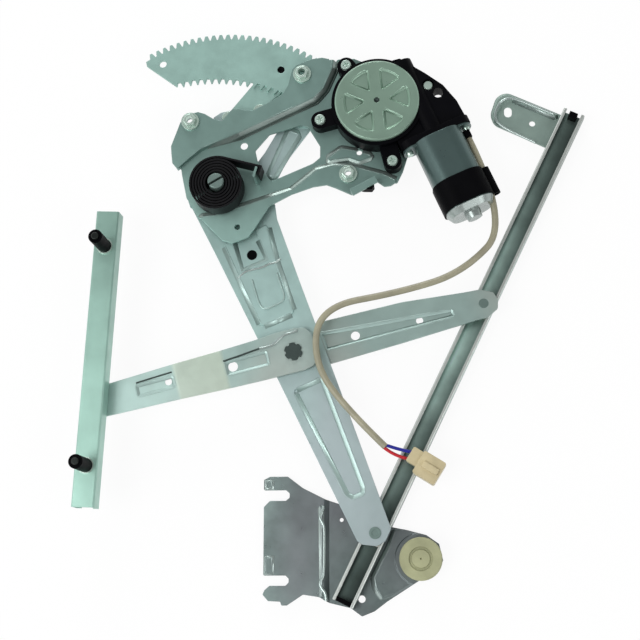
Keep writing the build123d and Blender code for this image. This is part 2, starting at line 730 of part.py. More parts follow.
with BuildPart() as base_plate:
    # Middle level
    with BuildSketch(Plane.XY.offset(base_z)):
        with BuildLine():
            Polyline((-37, 23), (-34, 19), (-33, 13), (-29, -6), (-18, -24), (-4, -25.5), (60, -5.5),
                     (83, 11), (93, 15), (111, 14.5), (137, 6), (148, 1), (153, 11), (161, 36), (160, 62),
                     (150, 86), (125, 108), (113, 113.5), (99, 113.5), (92, 104), (86, 88), (78, 79),
                     (50, 66), (15, 50), (-17, 38), close=True)
        make_face()
        fillet(vertices(), 2)
    extrude(amount=plate_sheet)
    # Upper flange, four millimetres higher
    with BuildSketch(Plane.XY.offset(upper_z)):
        with BuildLine():
            Polyline((-41, 24), (-42, 32.5), (-42.5, 39), (-35, 60), (-29, 67), (-20, 69), (-14, 67),
                     (-7, 62.5), (0.5, 60), (10, 71), (27, 68.5), (40, 75), (53, 83), (57, 90), (59, 98),
                     (60.5, 104), (64, 108), (70, 110.5), (77, 113), (86, 114), (92, 112.5), (94, 104),
                     (87, 87), (79, 78), (50, 65), (15, 49), (-17, 36), (-37, 19), close=True)
        make_face()
    extrude(amount=plate_sheet)
    # Sloping wall between the two levels
    with BuildSketch(Plane.XY.offset(base_z)):
        with BuildLine():
            Polyline((-41, 25), (-37, 19), (-16, 35), (16, 48), (51, 64), (79, 76.5), (88.5, 86),
                     (96, 104), (97, 113), (89.5, 113), (79, 86), (49, 72), (14, 56),
                     (-19, 41.5), close=True)
        make_face()
    extrude(amount=upper_rise + plate_sheet, taper=12)
    # Lower flange with the tongue over the lift arm
    with BuildSketch(Plane.XY.offset(lower_z)):
        with BuildLine():
            Polyline((-18, -23), (2, -44), (10.5, -47), (24, -42), (31, -32), (41.5, -15.5), (60, -6),
                     (78, 0), (89.5, 1.5), (97, -1.5), (110.5, -8), (131.5, 3), (137.5, -1.5), (143, -1),
                     (149, 3), (138, 9), (111, 17.5), (95, 18.5), (81, 15), (60, -2), (-4, -22),
                     close=True)
        make_face()
        fillet(vertices(), 2)
    extrude(amount=plate_sheet)
    # Rubbing lug bent up from the lower edge, and the spring's hook lug
    with BuildSketch(turned((110.5, -8), 28, lower_z)):
        Rectangle(23.4, plate_sheet, align=(Align.MIN, Align.MIN))
    extrude(amount=lug_height)
    with BuildSketch(turned((110.5, -8), 28, lower_z + lug_height - plate_sheet)):
        with Locations((0, plate_sheet)):
            Rectangle(23.4, 6.0, align=(Align.MIN, Align.MAX))
    extrude(amount=plate_sheet)
    hook_plane = turned(polar(spring_outer - strip / 2, leave_angle), leave_angle - 90, base_z)
    with BuildSketch(hook_plane):
        with Locations((hook_reach - 2.2, -1.2)):
            Rectangle(plate_sheet, 9, align=(Align.MAX, Align.MAX))
    extrude(amount=spring_z + spring_width - base_z)
    # Window over the arm's head, with a turned-up lip on its lower side
    with BuildSketch(Plane.XY.offset(base_z)):
        with BuildLine():
            Polyline((29, 34), (41, 48), (68, 55.5), (74, 53), (84, 36), (84, 26), (78, 21), (48, 8.5),
                     (43, 6.5), (38, 12), (31, 25), close=True)
        make_face()
        fillet(vertices(), 2)
    extrude(amount=plate_sheet, mode=Mode.SUBTRACT)
    # Raised rib between the window and the motor
    with BuildSketch(Plane.XY.offset(plate_top)):
        with BuildLine():
            Polyline((89, 25), (92, 22), (108, 24), (117, 20.5), (127, 24), (127, 27), (116, 31),
                     (102, 34), close=True)
        make_face()
        fillet(vertices(), 1.5)
    extrude(amount=1.2, taper=25)
    with BuildSketch(Plane.XY.offset(base_z - 1)):
        Circle(pivot_pin_radius + running)
        with Locations(gear):
            Circle(pinion_opening)
        with Locations((19.5, 38.5)):
            Circle(3.2)
        with Locations((14.8, -33), (117, 29)):
            Circle(2.4)
        with Locations(*ears_at):
            Circle(screw_radius)
        with Locations(*nuts_at):
            Circle(nut_bore)
    extrude(amount=12, mode=Mode.SUBTRACT)
base_plate.part.label = "base_plate"


def weld_nut(place, seat):
    """Hexagon flange nut with a smooth bore, standing on a seat."""
    with BuildPart() as nut:
        with BuildSketch(turned(place, 12, seat)):
            Circle(7.6)
        extrude(amount=1.8)
        with BuildSketch(turned(place, 12, seat + 1.8)):
            RegularPolygon(5.8, 6)
        extrude(amount=4.2)
        chamfer(nut.faces().sort_by(Axis.Z)[-1].edges(), 0.6)
        with BuildSketch(turned(place, 12, seat)):
            Circle(nut_bore)
        extrude(amount=8, mode=Mode.SUBTRACT)
    return nut.part


with BuildPart() as weld_nut_left:
    add(weld_nut(nuts_at[0], upper_z + plate_sheet))
weld_nut_left.part.label = "weld_nut_left"

with BuildPart() as weld_nut_top:
    add(weld_nut(nuts_at[1], upper_z + plate_sheet))
weld_nut_top.part.label = "weld_nut_top"

with BuildPart() as weld_nut_lower:
    add(weld_nut(nuts_at[2], lower_z + plate_sheet))
weld_nut_lower.part.label = "weld_nut_lower"

with BuildPart() as bump_stop:
    with BuildSketch(turned((110.5, -8), 28, lower_z + plate_sheet)):
        with BuildLine():
            Polyline((7, 0), (21, 0), (19, -5), (16, -6.5), (10, -3), close=True)
        make_face()
        fillet(vertices(), 0.8)
    extrude(amount=lug_height - 2 * plate_sheet)
bump_stop.part.label = "bump_stop"

# Output gear shaft: pinion in mesh with the sector, worm wheel inside the housing
pinion_z = rim_z - 0.4
pinion_top = base_z - slide_gap
wheel_width = 10.0
wheel_rim = 4.25
wheel_z = motor_z - wheel_width / 2
worm_step = 360 / wheel_tooth_count
wheel_pitch = worm_offset - worm_pitch_radius
wheel_module = 2 * wheel_pitch / wheel_tooth_count
wheel_base = wheel_pitch * cos(radians(pressure_angle))
wheel_tip = worm_offset - worm_root - worm_clearance
wheel_root = worm_offset - worm_tip - worm_clearance
shaft_radius = 5.0
wheel_tooth = 1.1

with BuildPart() as output_pinion:
    with BuildSketch(turned(gear, 0, pinion_z)):
        with BuildLine():
            points = []
            for index in range(pinion_tooth_count):
                middle = gear_angle + 180 + (index + 0.5) * 360 / pinion_tooth_count
                points += tooth(pinion_base, pinion_root, pinion_tip, pinion_pitch, pinion_tooth, middle)
            Polyline(*points, close=True)
        make_face()
    extrude(amount=pinion_top - pinion_z)
    with BuildSketch(turned(gear, 0, pinion_top)):
        Circle(shaft_radius)
    extrude(amount=wheel_z + wheel_width + 1.5 - pinion_top)
output_pinion.part.label = "output_pinion"

worm_angle = motor_angle + 90

with BuildPart() as worm_wheel:
    with BuildSketch(turned(gear, 0, wheel_z)):
        with BuildLine():
            points = []
            for index in range(wheel_tooth_count):
                middle = worm_angle + (index + 0.5) * worm_step
                points += tooth(wheel_base, wheel_root, wheel_tip, wheel_pitch, wheel_tooth, middle)
            Polyline(*points, close=True)
        make_face()
    extrude(amount=wheel_width)
    with BuildSketch(turned(gear, 0, wheel_z + wheel_width)):
        Circle(wheel_root - wheel_rim)
        Circle(shaft_radius + 4, mode=Mode.SUBTRACT)
    extrude(amount=-2, mode=Mode.SUBTRACT)
    with BuildSketch(turned(gear, 0, wheel_z)):
        Circle(shaft_radius)
    extrude(amount=wheel_width, mode=Mode.SUBTRACT)
worm_wheel.part.label = "worm_wheel"

# Motor: everything sits on the worm axis, at distances ahead of the worm wheel's middle
motor_line = polar(worm_offset, worm_angle, gear)
flange_at = 48.5
can_end = 113.0
cap_end = 118.5
hub_end = 124.0
can_width = 41.5
can_depth = 35.0
can_corner = 14.0
can_wall = 1.6


def across(distance):
    """Plane across the motor axis, x away from the worm wheel, y up, at a distance along it."""
    x_dir = (cos(radians(worm_angle)), sin(radians(worm_angle)), 0)
    ahead = (cos(radians(motor_angle)), sin(radians(motor_angle)), 0)
    at = polar(distance, motor_angle, motor_line)
    return Plane(origin=(at[0], at[1], motor_z), x_dir=x_dir, z_dir=ahead)


housing_top = 44.2
housing_wall = 2.5
body_radius = 38.0
ear_radius = 7.5
ear_top = 38.0
wheel_room = 29.5
worm_room = 6.9
cover_radius = 35.0
worm_hood = 9.4
flange_offset = can_width / 2 + 4.65
flange_half = flange_offset + 4.9
flange_screw_radius = 1.9
housing_plane = turned(gear, motor_angle, plate_top)
web_screw_at = polar(4, motor_angle, polar(44.5, worm_angle, gear))
web_screw_seat = 39.0
web_screw_radius = 1.9

with BuildPart() as gearbox_housing:
    with BuildSketch(housing_plane):
        Circle(body_radius)
    extrude(amount=housing_top - plate_top)
    # Web that joins the round body to the motor flange
    with BuildSketch(housing_plane):
        with BuildLine():
            Polyline((-26, 14), (-28.5, 27), (-27.5, 33), (-23.5, 35.5), (-6.5, 46.5), (9.5, 55.5), (27, 60),
                     (flange_at, 61), (flange_at, 1.5), (38, 1.5), (30, 4), close=True)
        make_face()
        fillet(vertices(), 2)
    extrude(amount=housing_top - 2 - plate_top)
    # Three screw lugs, each tangent to the body
    for ear in ears_at:
        with BuildSketch(Plane.XY.offset(plate_top)) as lug:
            with BuildLine():
                Line(gear, ear)
            trace(line_width=2 * ear_radius)
            with Locations(ear):
                Circle(ear_radius)
        extrude(amount=ear_top - plate_top)
    # Hood over the worm and flange that takes the motor
    with BuildSketch(across(-24.5)):
        Circle(worm_hood)
    extrude(amount=24.5 + flange_at)
    with BuildSketch(across(flange_at - 6)):
        RectangleRounded(2 * flange_half, 24, 8)
    extrude(amount=6)
    split(bisect_by=Plane.XY.offset(plate_top), keep=Keep.TOP)
    with BuildSketch(turned(gear, 0, housing_top)):
        Circle(cover_radius + 0.3)
    extrude(amount=20, mode=Mode.SUBTRACT)
    # Boss in the pinion opening of the base plate
    with BuildSketch(housing_plane.offset(-plate_sheet + 0.3)):
        Circle(pinion_opening - 0.3)
    extrude(amount=plate_sheet - 0.3)
    # Rooms for the worm wheel and the worm
    with BuildSketch(housing_plane.offset(housing_wall)):
        Circle(wheel_room)
    extrude(amount=20, mode=Mode.SUBTRACT)
    with BuildSketch(across(-22)):
        Circle(worm_room)
    extrude(amount=22 + flange_at, mode=Mode.SUBTRACT)
    with BuildSketch(housing_plane.offset(-3)):
        Circle(shaft_radius + running)
    extrude(amount=10, mode=Mode.SUBTRACT)
    with BuildSketch(Plane.XY.offset(plate_top - 1)):
        with Locations(*ears_at):
            Circle(screw_radius)
        with Locations(polar(14, motor_angle, polar(49, worm_angle, gear))):
            Circle(4.2)
    extrude(amount=30, mode=Mode.SUBTRACT)
    with BuildSketch(across(flange_at - 6)):
        with Locations((-flange_offset, 0), (flange_offset, 0)):
            Circle(flange_screw_radius)
    extrude(amount=6, mode=Mode.SUBTRACT)
    with BuildSketch(turned(web_screw_at, 0, web_screw_seat)):
        Circle(web_screw_radius + 3)
    extrude(amount=10, mode=Mode.SUBTRACT)
    with BuildSketch(turned(web_screw_at, 0, web_screw_seat - 6)):
        Circle(web_screw_radius)
    extrude(amount=6, mode=Mode.SUBTRACT)
gearbox_housing.part.label = "gearbox_housing"

# Cover: round lid with six sunk sectors round a centre boss
cover_thickness = 3.8
spoke_half_width = 4.4
wedge_outer = 27.5
wedge_turn = 5.0

with BuildPart() as gearbox_cover:
    with BuildSketch(turned(gear, 0, housing_top)):
        Circle(cover_radius)
    extrude(amount=cover_thickness)
    chamfer(faces().sort_by(Axis.Z)[-1].edges(), 1.2)
    with BuildSketch(turned(gear, 0, housing_top + cover_thickness)):
        half_sweep = 30 - degrees(asin(spoke_half_width / wedge_outer))
        for index in range(6):
            middle = 60 * index + wedge_turn
            with BuildLine():
                outer = CenterArc((0, 0), wedge_outer, middle - half_sweep, 2 * half_sweep)
                apex = polar(spoke_half_width / sin(radians(30)), middle)
                Line(outer @ 0, apex)
                Line(outer @ 1, apex)
            make_face()
        fillet(vertices(), 1.6)
    extrude(amount=-1.3, taper=40, mode=Mode.SUBTRACT)
    with BuildSketch(turned(gear, 0, housing_top + cover_thickness)):
        Circle(2.4)
    extrude(amount=-2.8, mode=Mode.SUBTRACT)
    with BuildSketch(turned(gear, 0, housing_top - 1.2)):
        Circle(wheel_room - 0.2)
        Circle(wheel_room - 2.2, mode=Mode.SUBTRACT)
    extrude(amount=1.2)
    with BuildSketch(across(-30)):
        Circle(worm_room + 0.3)
    extrude(amount=60, mode=Mode.SUBTRACT)
gearbox_cover.part.label = "gearbox_cover"

with BuildPart() as housing_screws:
    with BuildSketch(Plane.XY.offset(base_z)):
        with Locations(*ears_at):
            Circle(screw_radius)
    extrude(amount=ear_top - base_z)
    with BuildSketch(Plane.XY.offset(ear_top)):
        with Locations(*ears_at):
            Circle(4.6)
    extrude(amount=2.6, taper=12)
    with BuildSketch(Plane.XY.offset(ear_top + 2.6)):
        for ear in ears_at:
            with Locations(turned(ear, 20).location):
                Rectangle(5, 1.1)
                Rectangle(1.1, 5)
    extrude(amount=-1.4, mode=Mode.SUBTRACT)
    # Smaller screw sunk in the housing's web
    with BuildSketch(turned(web_screw_at, 0, web_screw_seat - 6)):
        Circle(web_screw_radius)
    extrude(amount=6)
    with BuildSketch(turned(web_screw_at, 0, web_screw_seat)):
        Circle(web_screw_radius + 2.2)
    extrude(amount=2, taper=15)
housing_screws.part.label = "housing_screws"

with BuildPart() as motor_can:
    with BuildSketch(across(flange_at)):
        RectangleRounded(2 * flange_half, 22, 10)
        RectangleRounded(can_width, can_depth, can_corner)
    extrude(amount=2)
    with BuildSketch(across(flange_at)):
        RectangleRounded(can_width, can_depth, can_corner)
    extrude(amount=can_end - flange_at)
    with BuildSketch(across(flange_at)):
        RectangleRounded(can_width - 2 * can_wall, can_depth - 2 * can_wall, can_corner - can_wall)
    extrude(amount=can_end - flange_at, mode=Mode.SUBTRACT)
    with BuildSketch(across(flange_at)):
        with Locations((-flange_offset, 0), (flange_offset, 0)):
            Circle(flange_screw_radius)
    extrude(amount=2, mode=Mode.SUBTRACT)
motor_can.part.label = "motor_can"

with BuildPart() as flange_screws:
    with BuildSketch(across(flange_at - 6)):
        with Locations((-flange_offset, 0), (flange_offset, 0)):
            Circle(flange_screw_radius)
    extrude(amount=8)
    with BuildSketch(across(flange_at + 2)):
        with Locations((-flange_offset, 0), (flange_offset, 0)):
            Circle(3.2)
    extrude(amount=2.4, taper=10)
flange_screws.part.label = "flange_screws"

cable_radius = 2.75
cable_side = can_width / 2 + cable_radius + 0.3
band_start = 88.5

with BuildPart() as motor_band:
    with BuildSketch(across(band_start)):
        RectangleRounded(can_width + 2.4, can_depth + 2.4, can_corner + 1.2)
        with Locations((cable_side, 0)):
            Circle(cable_radius + 1.2)
        RectangleRounded(can_width, can_depth, can_corner, mode=Mode.SUBTRACT)
        with Locations((cable_side, 0)):
            Circle(cable_radius, mode=Mode.SUBTRACT)
    extrude(amount=can_end - 0.5 - band_start)
motor_band.part.label = "motor_band"

with BuildPart() as motor_cap:
    with BuildSketch(across(can_end)):
        RectangleRounded(can_width, can_depth, can_corner)
    extrude(amount=cap_end - can_end, taper=30)
    with BuildSketch(across(cap_end)):
        Circle(7)
    extrude(amount=hub_end - cap_end, taper=8)
    with BuildSketch(across(can_end)):
        Circle(2.5 + running)
    extrude(amount=8, mode=Mode.SUBTRACT)
motor_cap.part.label = "motor_cap"

magnet_thickness = 1.9
air_gap = 0.8
magnet_inner = can_depth / 2 - can_wall - magnet_thickness
core_radius = magnet_inner - air_gap

with BuildPart() as magnets:
    with BuildSketch(across(72)):
        Circle(can_depth / 2 - can_wall)
        Circle(magnet_inner, mode=Mode.SUBTRACT)
        Rectangle(12, can_width + can_depth, mode=Mode.SUBTRACT)
    extrude(amount=34)
magnets.part.label = "magnets"

with BuildPart() as brush_holder:
    with BuildSketch(across(flange_at + 2)):
        RectangleRounded(can_width - 2 * can_wall, can_depth - 2 * can_wall, can_corner - can_wall)
        Circle(8.5, mode=Mode.SUBTRACT)
    extrude(amount=12)
brush_holder.part.label = "brush_holder"

# Armature with its shaft, and the single-start worm pressed on the shaft
worm_lead = 2 * pi * wheel_pitch / wheel_tooth_count
worm_half = 9.0
thread_turn_count = 3
motor_shaft = 2.5


def worm_sleeve():
    """Sleeve along +Z from its end, with a right-hand thread that faces -X at its middle."""
    with BuildPart() as sleeve:
        with BuildSketch():
            Circle(worm_root)
        extrude(amount=2 * worm_half)
        with BuildLine() as path:
            Helix(pitch=worm_lead, height=worm_lead * thread_turn_count, radius=worm_root,
                  center=(0, 0, worm_half - worm_lead * thread_turn_count / 2))
        with BuildSketch(Plane(origin=path.line @ 0, x_dir=(1, 0, 0), z_dir=path.line % 0)):
            with BuildLine():
                Polyline((-0.3, -0.95), (-0.3, 0.95), (worm_tip - worm_root, 0.3),
                         (worm_tip - worm_root, -0.3), close=True)
            make_face()
        sweep(is_frenet=True)
        with BuildSketch():
            Circle(motor_shaft)
        extrude(amount=2 * worm_half, mode=Mode.SUBTRACT)
    return sleeve.part


with BuildPart() as worm:
    add(worm_sleeve().moved(across(-worm_half).location))
worm.part.label = "worm"

with BuildPart() as armature:
    with BuildSketch(across(-18)):
        Circle(motor_shaft)
    extrude(amount=18 + can_end + 6)
    with BuildSketch(across(flange_at + 4)):
        Circle(8)
    extrude(amount=9)
    with BuildSketch(across(70)):
        Circle(core_radius)
        with PolarLocations(core_radius, 8):
            Rectangle(7, 1.6, mode=Mode.SUBTRACT)
    extrude(amount=38)
armature.part.label = "armature"

# Cable: one round loom on straight runs and tangent bends, to a two-way connector
gland_at = 53.5
gland_length = 6.2
cable_start = across(gland_at + gland_length).origin + across(0).x_dir * cable_side
cable_mid = across(139).origin + across(0).x_dir * cable_side
cable_route = [tuple(cable_start), tuple(cable_mid), (205, -76, 29.5), (150, -92, 28.5),
               (83, -103, 28.5), (79, -150, 28.5), (106, -188, 28), (136, -217.5, 25)]


def bend_radii(points):
    """Bend radius at each inner corner: 0.45 of the shorter run over the tangent of half the turn."""
    radii = []
    for before, corner, after in zip(points, points[1:], points[2:]):
        run_in = Vector(*corner) - Vector(*before)
        run_out = Vector(*after) - Vector(*corner)
        half_turn = radians(run_in.get_angle(run_out)) / 2
        radii.append(0.45 * min(run_in.length, run_out.length) / tan(half_turn))
    return radii


def tube(route, radius):
    """Round tube along straight runs with tangent bends."""
    with BuildPart() as body:
        with BuildLine() as path:
            FilletPolyline(*route, radius=bend_radii(route))
        with BuildSketch(Plane(origin=path.line @ 0, z_dir=path.line % 0)):
            Circle(radius)
        sweep()
    return body.part


with BuildPart() as cable:
    add(tube(cable_route, cable_radius))
cable.part.label = "cable"

with BuildPart() as cable_gland:
    with BuildSketch(across(gland_at)):
        with Locations((can_width / 2 + 3.1, 0)):
            RectangleRounded(6.2, 10, 2)
    extrude(amount=gland_length)
cable_gland.part.label = "cable_gland"

connector_plane = turned((158, -224.5), -32, 15)

with BuildPart() as connector:
    with BuildSketch(connector_plane):
        with Locations((3, 0)):
            RectangleRounded(12, 13, 1)
    extrude(amount=10)
    with BuildSketch(connector_plane.offset(-1)):
        with Locations((16, -2)):
            RectangleRounded(20, 20, 1.5)
    extrude(amount=13)
    with BuildSketch(connector_plane.offset(12)):
        with Locations((17, -2)):
            Rectangle(14, 5)
    extrude(amount=2)
connector.part.label = "connector"

# Two wires between the loom and the connector, trimmed where they enter either
wire_radius = 1.0
blue_route = [(136.3, -216.1, 25), (146.5, -219.8, 24), (158.5, -221.9, 21.5)]
red_route = [(134.6, -217.8, 25), (143.6, -225.3, 23), (155.3, -226.9, 20.5)]

with BuildPart() as wire_blue:
    add(tube(blue_route, wire_radius))
    add([cable.part, connector.part], mode=Mode.SUBTRACT)
wire_blue.part.label = "wire_blue"

with BuildPart() as wire_red:
    add(tube(red_route, wire_radius))
    add([cable.part, connector.part], mode=Mode.SUBTRACT)
wire_red.part.label = "wire_red"

for name, route in (("cable", cable_route), ("wire_blue", blue_route), ("wire_red", red_route)):
    print(name, "bend radii:", [round(radius, 1) for radius in bend_radii(route)])

# Shift every part so that the origin is the middle of the floor under the regulator
cord_parts = [cable, wire_blue, wire_red, connector]
rigid_parts = [lift_arm, arm_plug, sector_gear, sector_rivets, pivot_pin, pivot_washer, counter_spring,
               cross_arm_front, cross_arm_rear, centre_rivet, lower_slider_pin, upper_slider_pin,
               guide_slider_pin, lower_shoe, upper_shoe, guide_shoe, lift_channel, channel_stops,
               upper_bracket, lower_bracket, roller_pin, glass_roller, guide_channel, guide_studs,
               stud_sleeves, base_plate, weld_nut_left, weld_nut_top, weld_nut_lower, bump_stop,
               output_pinion, worm_wheel, gearbox_housing, gearbox_cover, housing_screws, motor_can,
               flange_screws, motor_band, motor_cap, magnets, brush_holder, armature, worm,
               cable_gland]
boxes = [piece.part.bounding_box() for piece in rigid_parts]
low_x = min(box.min.X for box in boxes)
high_x = max(box.max.X for box in boxes)
low_y = min(box.min.Y for box in boxes)
high_y = max(box.max.Y for box in boxes)
to_origin = Location((-(low_x + high_x) / 2, -(low_y + high_y) / 2, 0))

os.makedirs("parts", exist_ok=True)
for piece in rigid_parts + cord_parts:
    export_step(piece.part.moved(to_origin), "parts/" + piece.part.label + ".step")
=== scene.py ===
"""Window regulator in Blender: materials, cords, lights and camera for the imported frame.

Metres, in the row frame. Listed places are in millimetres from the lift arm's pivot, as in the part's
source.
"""
from math import cos, pi, radians, sin

import bmesh
import bpy
from mathutils import Matrix, Vector
from mathutils.bvhtree import BVHTree


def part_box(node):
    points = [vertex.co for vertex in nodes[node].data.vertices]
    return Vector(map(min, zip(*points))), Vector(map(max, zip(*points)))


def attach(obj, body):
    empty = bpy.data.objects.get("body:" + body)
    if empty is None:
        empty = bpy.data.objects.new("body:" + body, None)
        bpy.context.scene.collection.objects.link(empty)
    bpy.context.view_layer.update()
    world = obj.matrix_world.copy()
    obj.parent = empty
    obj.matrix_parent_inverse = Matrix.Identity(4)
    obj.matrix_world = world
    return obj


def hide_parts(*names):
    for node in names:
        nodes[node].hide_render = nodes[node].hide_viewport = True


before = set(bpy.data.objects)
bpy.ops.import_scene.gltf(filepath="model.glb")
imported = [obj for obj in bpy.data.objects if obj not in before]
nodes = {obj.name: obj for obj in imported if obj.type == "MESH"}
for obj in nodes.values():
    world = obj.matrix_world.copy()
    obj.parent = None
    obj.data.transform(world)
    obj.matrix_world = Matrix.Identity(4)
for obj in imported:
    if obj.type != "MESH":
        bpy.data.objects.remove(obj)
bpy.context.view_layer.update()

MM = 0.001
straight_down = Vector((0.0, 0.0, -1.0))

# Pivot of the lift arm, from the pin's own box
pin_low, pin_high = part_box("pivot_pin")
pivot = Vector(((pin_low[0] + pin_high[0]) / 2, (pin_low[1] + pin_high[1]) / 2, 0.0))


def at(x, y, z):
    """Point in the row frame from millimetres off the pivot."""
    return pivot + Vector((x, y, z)) * MM


def added(name, data):
    """New object in the scene."""
    piece = bpy.data.objects.new(name, data)
    bpy.context.scene.collection.objects.link(piece)
    return piece


# Camera: the photograph's angle and focal length, level with the row's X axis
camera_at = at(184.3, -342.3, 1060.1)
camera_aim = at(83.6, -112.8, 24.0)
camera_lens = 73.3
sensor_width = 36.0

camera_data = bpy.data.cameras.new("camera")
camera_data.lens = camera_lens
camera_data.sensor_width = sensor_width
camera = added("camera", camera_data)
forward = (camera_aim - camera_at).normalized()
right = Vector((-forward.z, 0.0, forward.x)).normalized()
up = right.cross(forward)
camera_turn = Matrix((right, up, -forward)).transposed().to_4x4()
camera.matrix_world = Matrix.Translation(camera_at) @ camera_turn
bpy.context.scene.camera = camera

# Noise over metres: scale, detail and, where it is drawn out and turned, the scale along each axis
cloud_noise = (45.0, 5.0)
patch_noise = (9.0, 2.0, (1.0, 0.5, 1.0))
gloss_noise = (140.0, 4.0)
grain_noise = (900.0, 2.0, (1.0, 0.25, 1.0))
wave_noise = (22.0, 1.0)
mould_noise = (60.0, 4.0)
mould_gloss_noise = (200.0, 3.0)
mould_grain_noise = (1500.0, 3.0)
noise_turn = radians(24.0)

# Sizes and strengths that the materials share
steel_edge = 0.6 * MM
mould_edge = 0.3 * MM
edge_samples = 4
grain_height = 0.2 * MM
wave_height = 3.0 * MM
mould_grain = 0.15
mould_spread = 0.15
mould_gloss_spread = 0.08
cloud_places = (0.25, 0.50, 0.78)
mould_places = (0.3, 0.7)
patch_stops = [(0.42, 0.0), (0.66, 0.8)]


def new_material(name):
    """New node material, with its node tree and its shader."""
    material = bpy.data.materials.new(name)
    material.use_nodes = True
    shader = material.node_tree.nodes["Principled BSDF"]
    return material, material.node_tree, shader


def noise(tree, scale, detail, stretch=None):
    """Noise over the object's own coordinates, drawn out along a turned axis where a stretch is given."""
    source = tree.nodes.new("ShaderNodeTexCoord").outputs["Object"]
    if stretch:
        mapping = tree.nodes.new("ShaderNodeMapping")
        mapping.inputs["Scale"].default_value = stretch
        mapping.inputs["Rotation"].default_value = (0.0, 0.0, noise_turn)
        tree.links.new(source, mapping.inputs["Vector"])
        source = mapping.outputs["Vector"]
    texture = tree.nodes.new("ShaderNodeTexNoise")
    texture.inputs["Scale"].default_value = scale
    texture.inputs["Detail"].default_value = detail
    tree.links.new(source, texture.inputs["Vector"])
    return texture.outputs["Fac"]


def tone_of(share):
    """A grey from one number, or a colour as it is."""
    return share if isinstance(share, tuple) else (share,) * 3


def shade(colour, factor):
    """A colour made lighter or darker."""
    return tuple(min(1.0, channel * factor) for channel in colour)


def ramp(tree, source, stops):
    """Colour ramp over a factor, from (position, grey or colour) stops."""
    node = tree.nodes.new("ShaderNodeValToRGB")
    elements = node.color_ramp.elements
    while len(elements) < len(stops):
        elements.new(0.5)
    for element, (position, share) in zip(elements, stops):
        element.position = position
        element.color = (*tone_of(share), 1.0)
    tree.links.new(source, node.inputs["Fac"])
    return node.outputs["Color"]


def blended(tree, factor, one, two, blend="MIX"):
    """Two colours, or a colour and an output, mixed by a factor."""
    mixed = tree.nodes.new("ShaderNodeMix")
    mixed.data_type = "RGBA"
    mixed.blend_type = blend
    sockets = {socket.identifier: socket for socket in mixed.inputs}
    for source, name in ((factor, "Factor_Float"), (one, "A_Color"), (two, "B_Color")):
        if isinstance(source, bpy.types.NodeSocket):
            tree.links.new(source, sockets[name])
        elif isinstance(source, tuple):
            sockets[name].default_value = (*source, 1.0)
        else:
            sockets[name].default_value = source
    return next(output for output in mixed.outputs if output.identifier == "Result_Color")


def calculated(tree, operation, one, two):
    """Result of one operation on an output and another output or a number."""
    node = tree.nodes.new("ShaderNodeMath")
    node.operation = operation
    tree.links.new(one, node.inputs[0])
    if isinstance(two, bpy.types.NodeSocket):
        tree.links.new(two, node.inputs[1])
    else:
        node.inputs[1].default_value = two
    return node.outputs["Value"]


def along(tree, start, end):
    """Factor that runs from 0 at one place to 1 at another, over the object's own coordinates."""
    reach = end - start
    offset = tree.nodes.new("ShaderNodeVectorMath")
    offset.operation = "SUBTRACT"
    offset.inputs[1].default_value = start
    product = tree.nodes.new("ShaderNodeVectorMath")
    product.operation = "DOT_PRODUCT"
    product.inputs[1].default_value = reach / reach.length_squared
    tree.links.new(tree.nodes.new("ShaderNodeTexCoord").outputs["Object"], offset.inputs[0])
    tree.links.new(offset.outputs["Vector"], product.inputs[0])
    return product.outputs["Value"]


def rounded(tree, radius):
    """Normal that rounds off the edges a little."""
    bevel = tree.nodes.new("ShaderNodeBevel")
    bevel.samples = edge_samples
    bevel.inputs["Radius"].default_value = radius
    return bevel.outputs["Normal"]


def bumped(tree, source, strength, height, normal):
    """Normal of a bump that follows a factor, over another normal."""
    bump = tree.nodes.new("ShaderNodeBump")
    bump.inputs["Strength"].default_value = strength
    bump.inputs["Distance"].default_value = height
    tree.links.new(source, bump.inputs["Height"])
    tree.links.new(normal, bump.inputs["Normal"])
    return bump.outputs["Normal"]


def mix_roughness(tree, shader, source, low, high):
    """Roughness that follows a factor between two values."""
    spread = tree.nodes.new("ShaderNodeMapRange")
    spread.inputs["To Min"].default_value = low
    spread.inputs["To Max"].default_value = high
    tree.links.new(source, spread.inputs["Value"])
    tree.links.new(spread.outputs["Result"], shader.inputs["Roughness"])


def zinc(name, colour, metallic=0.55, low=0.30, high=0.52, gloss=0.5, tint=None, painted_light_and_tone=None,
         waves=0.25, grain=0.10, spread=0.11):
    """Plated pressed steel: cloudy tone, tinted patches, a tone along it that mostly paints light, shade and
    reflection, waves and fine grain.
    """
    material, tree, shader = new_material(name)
    clouds = (shade(colour, 1 - spread), colour, shade(colour, 1 + spread))
    tone = ramp(tree, noise(tree, *cloud_noise), list(zip(cloud_places, clouds)))
    # Tone along the piece, multiplied in: painted light, shade and reflection on most pieces; the crossed
    # arm's beige band and the studs' dark tops are their own colour
    if painted_light_and_tone:
        start, end, stops = painted_light_and_tone
        tone = blended(tree, 1.0, tone, ramp(tree, along(tree, start, end), stops), "MULTIPLY")
    if tint:
        patches = ramp(tree, noise(tree, *patch_noise), patch_stops)
        tone = blended(tree, patches, tone, tint)
    tree.links.new(tone, shader.inputs["Base Color"])
    shader.inputs["Metallic"].default_value = metallic
    shader.inputs["Specular IOR Level"].default_value = gloss
    mix_roughness(tree, shader, noise(tree, *gloss_noise), low, high)
    normal = bumped(tree, noise(tree, *grain_noise), grain, grain_height, rounded(tree, steel_edge))
    if waves:
        normal = bumped(tree, noise(tree, *wave_noise), waves, wave_height, normal)
    tree.links.new(normal, shader.inputs["Normal"])
    return material


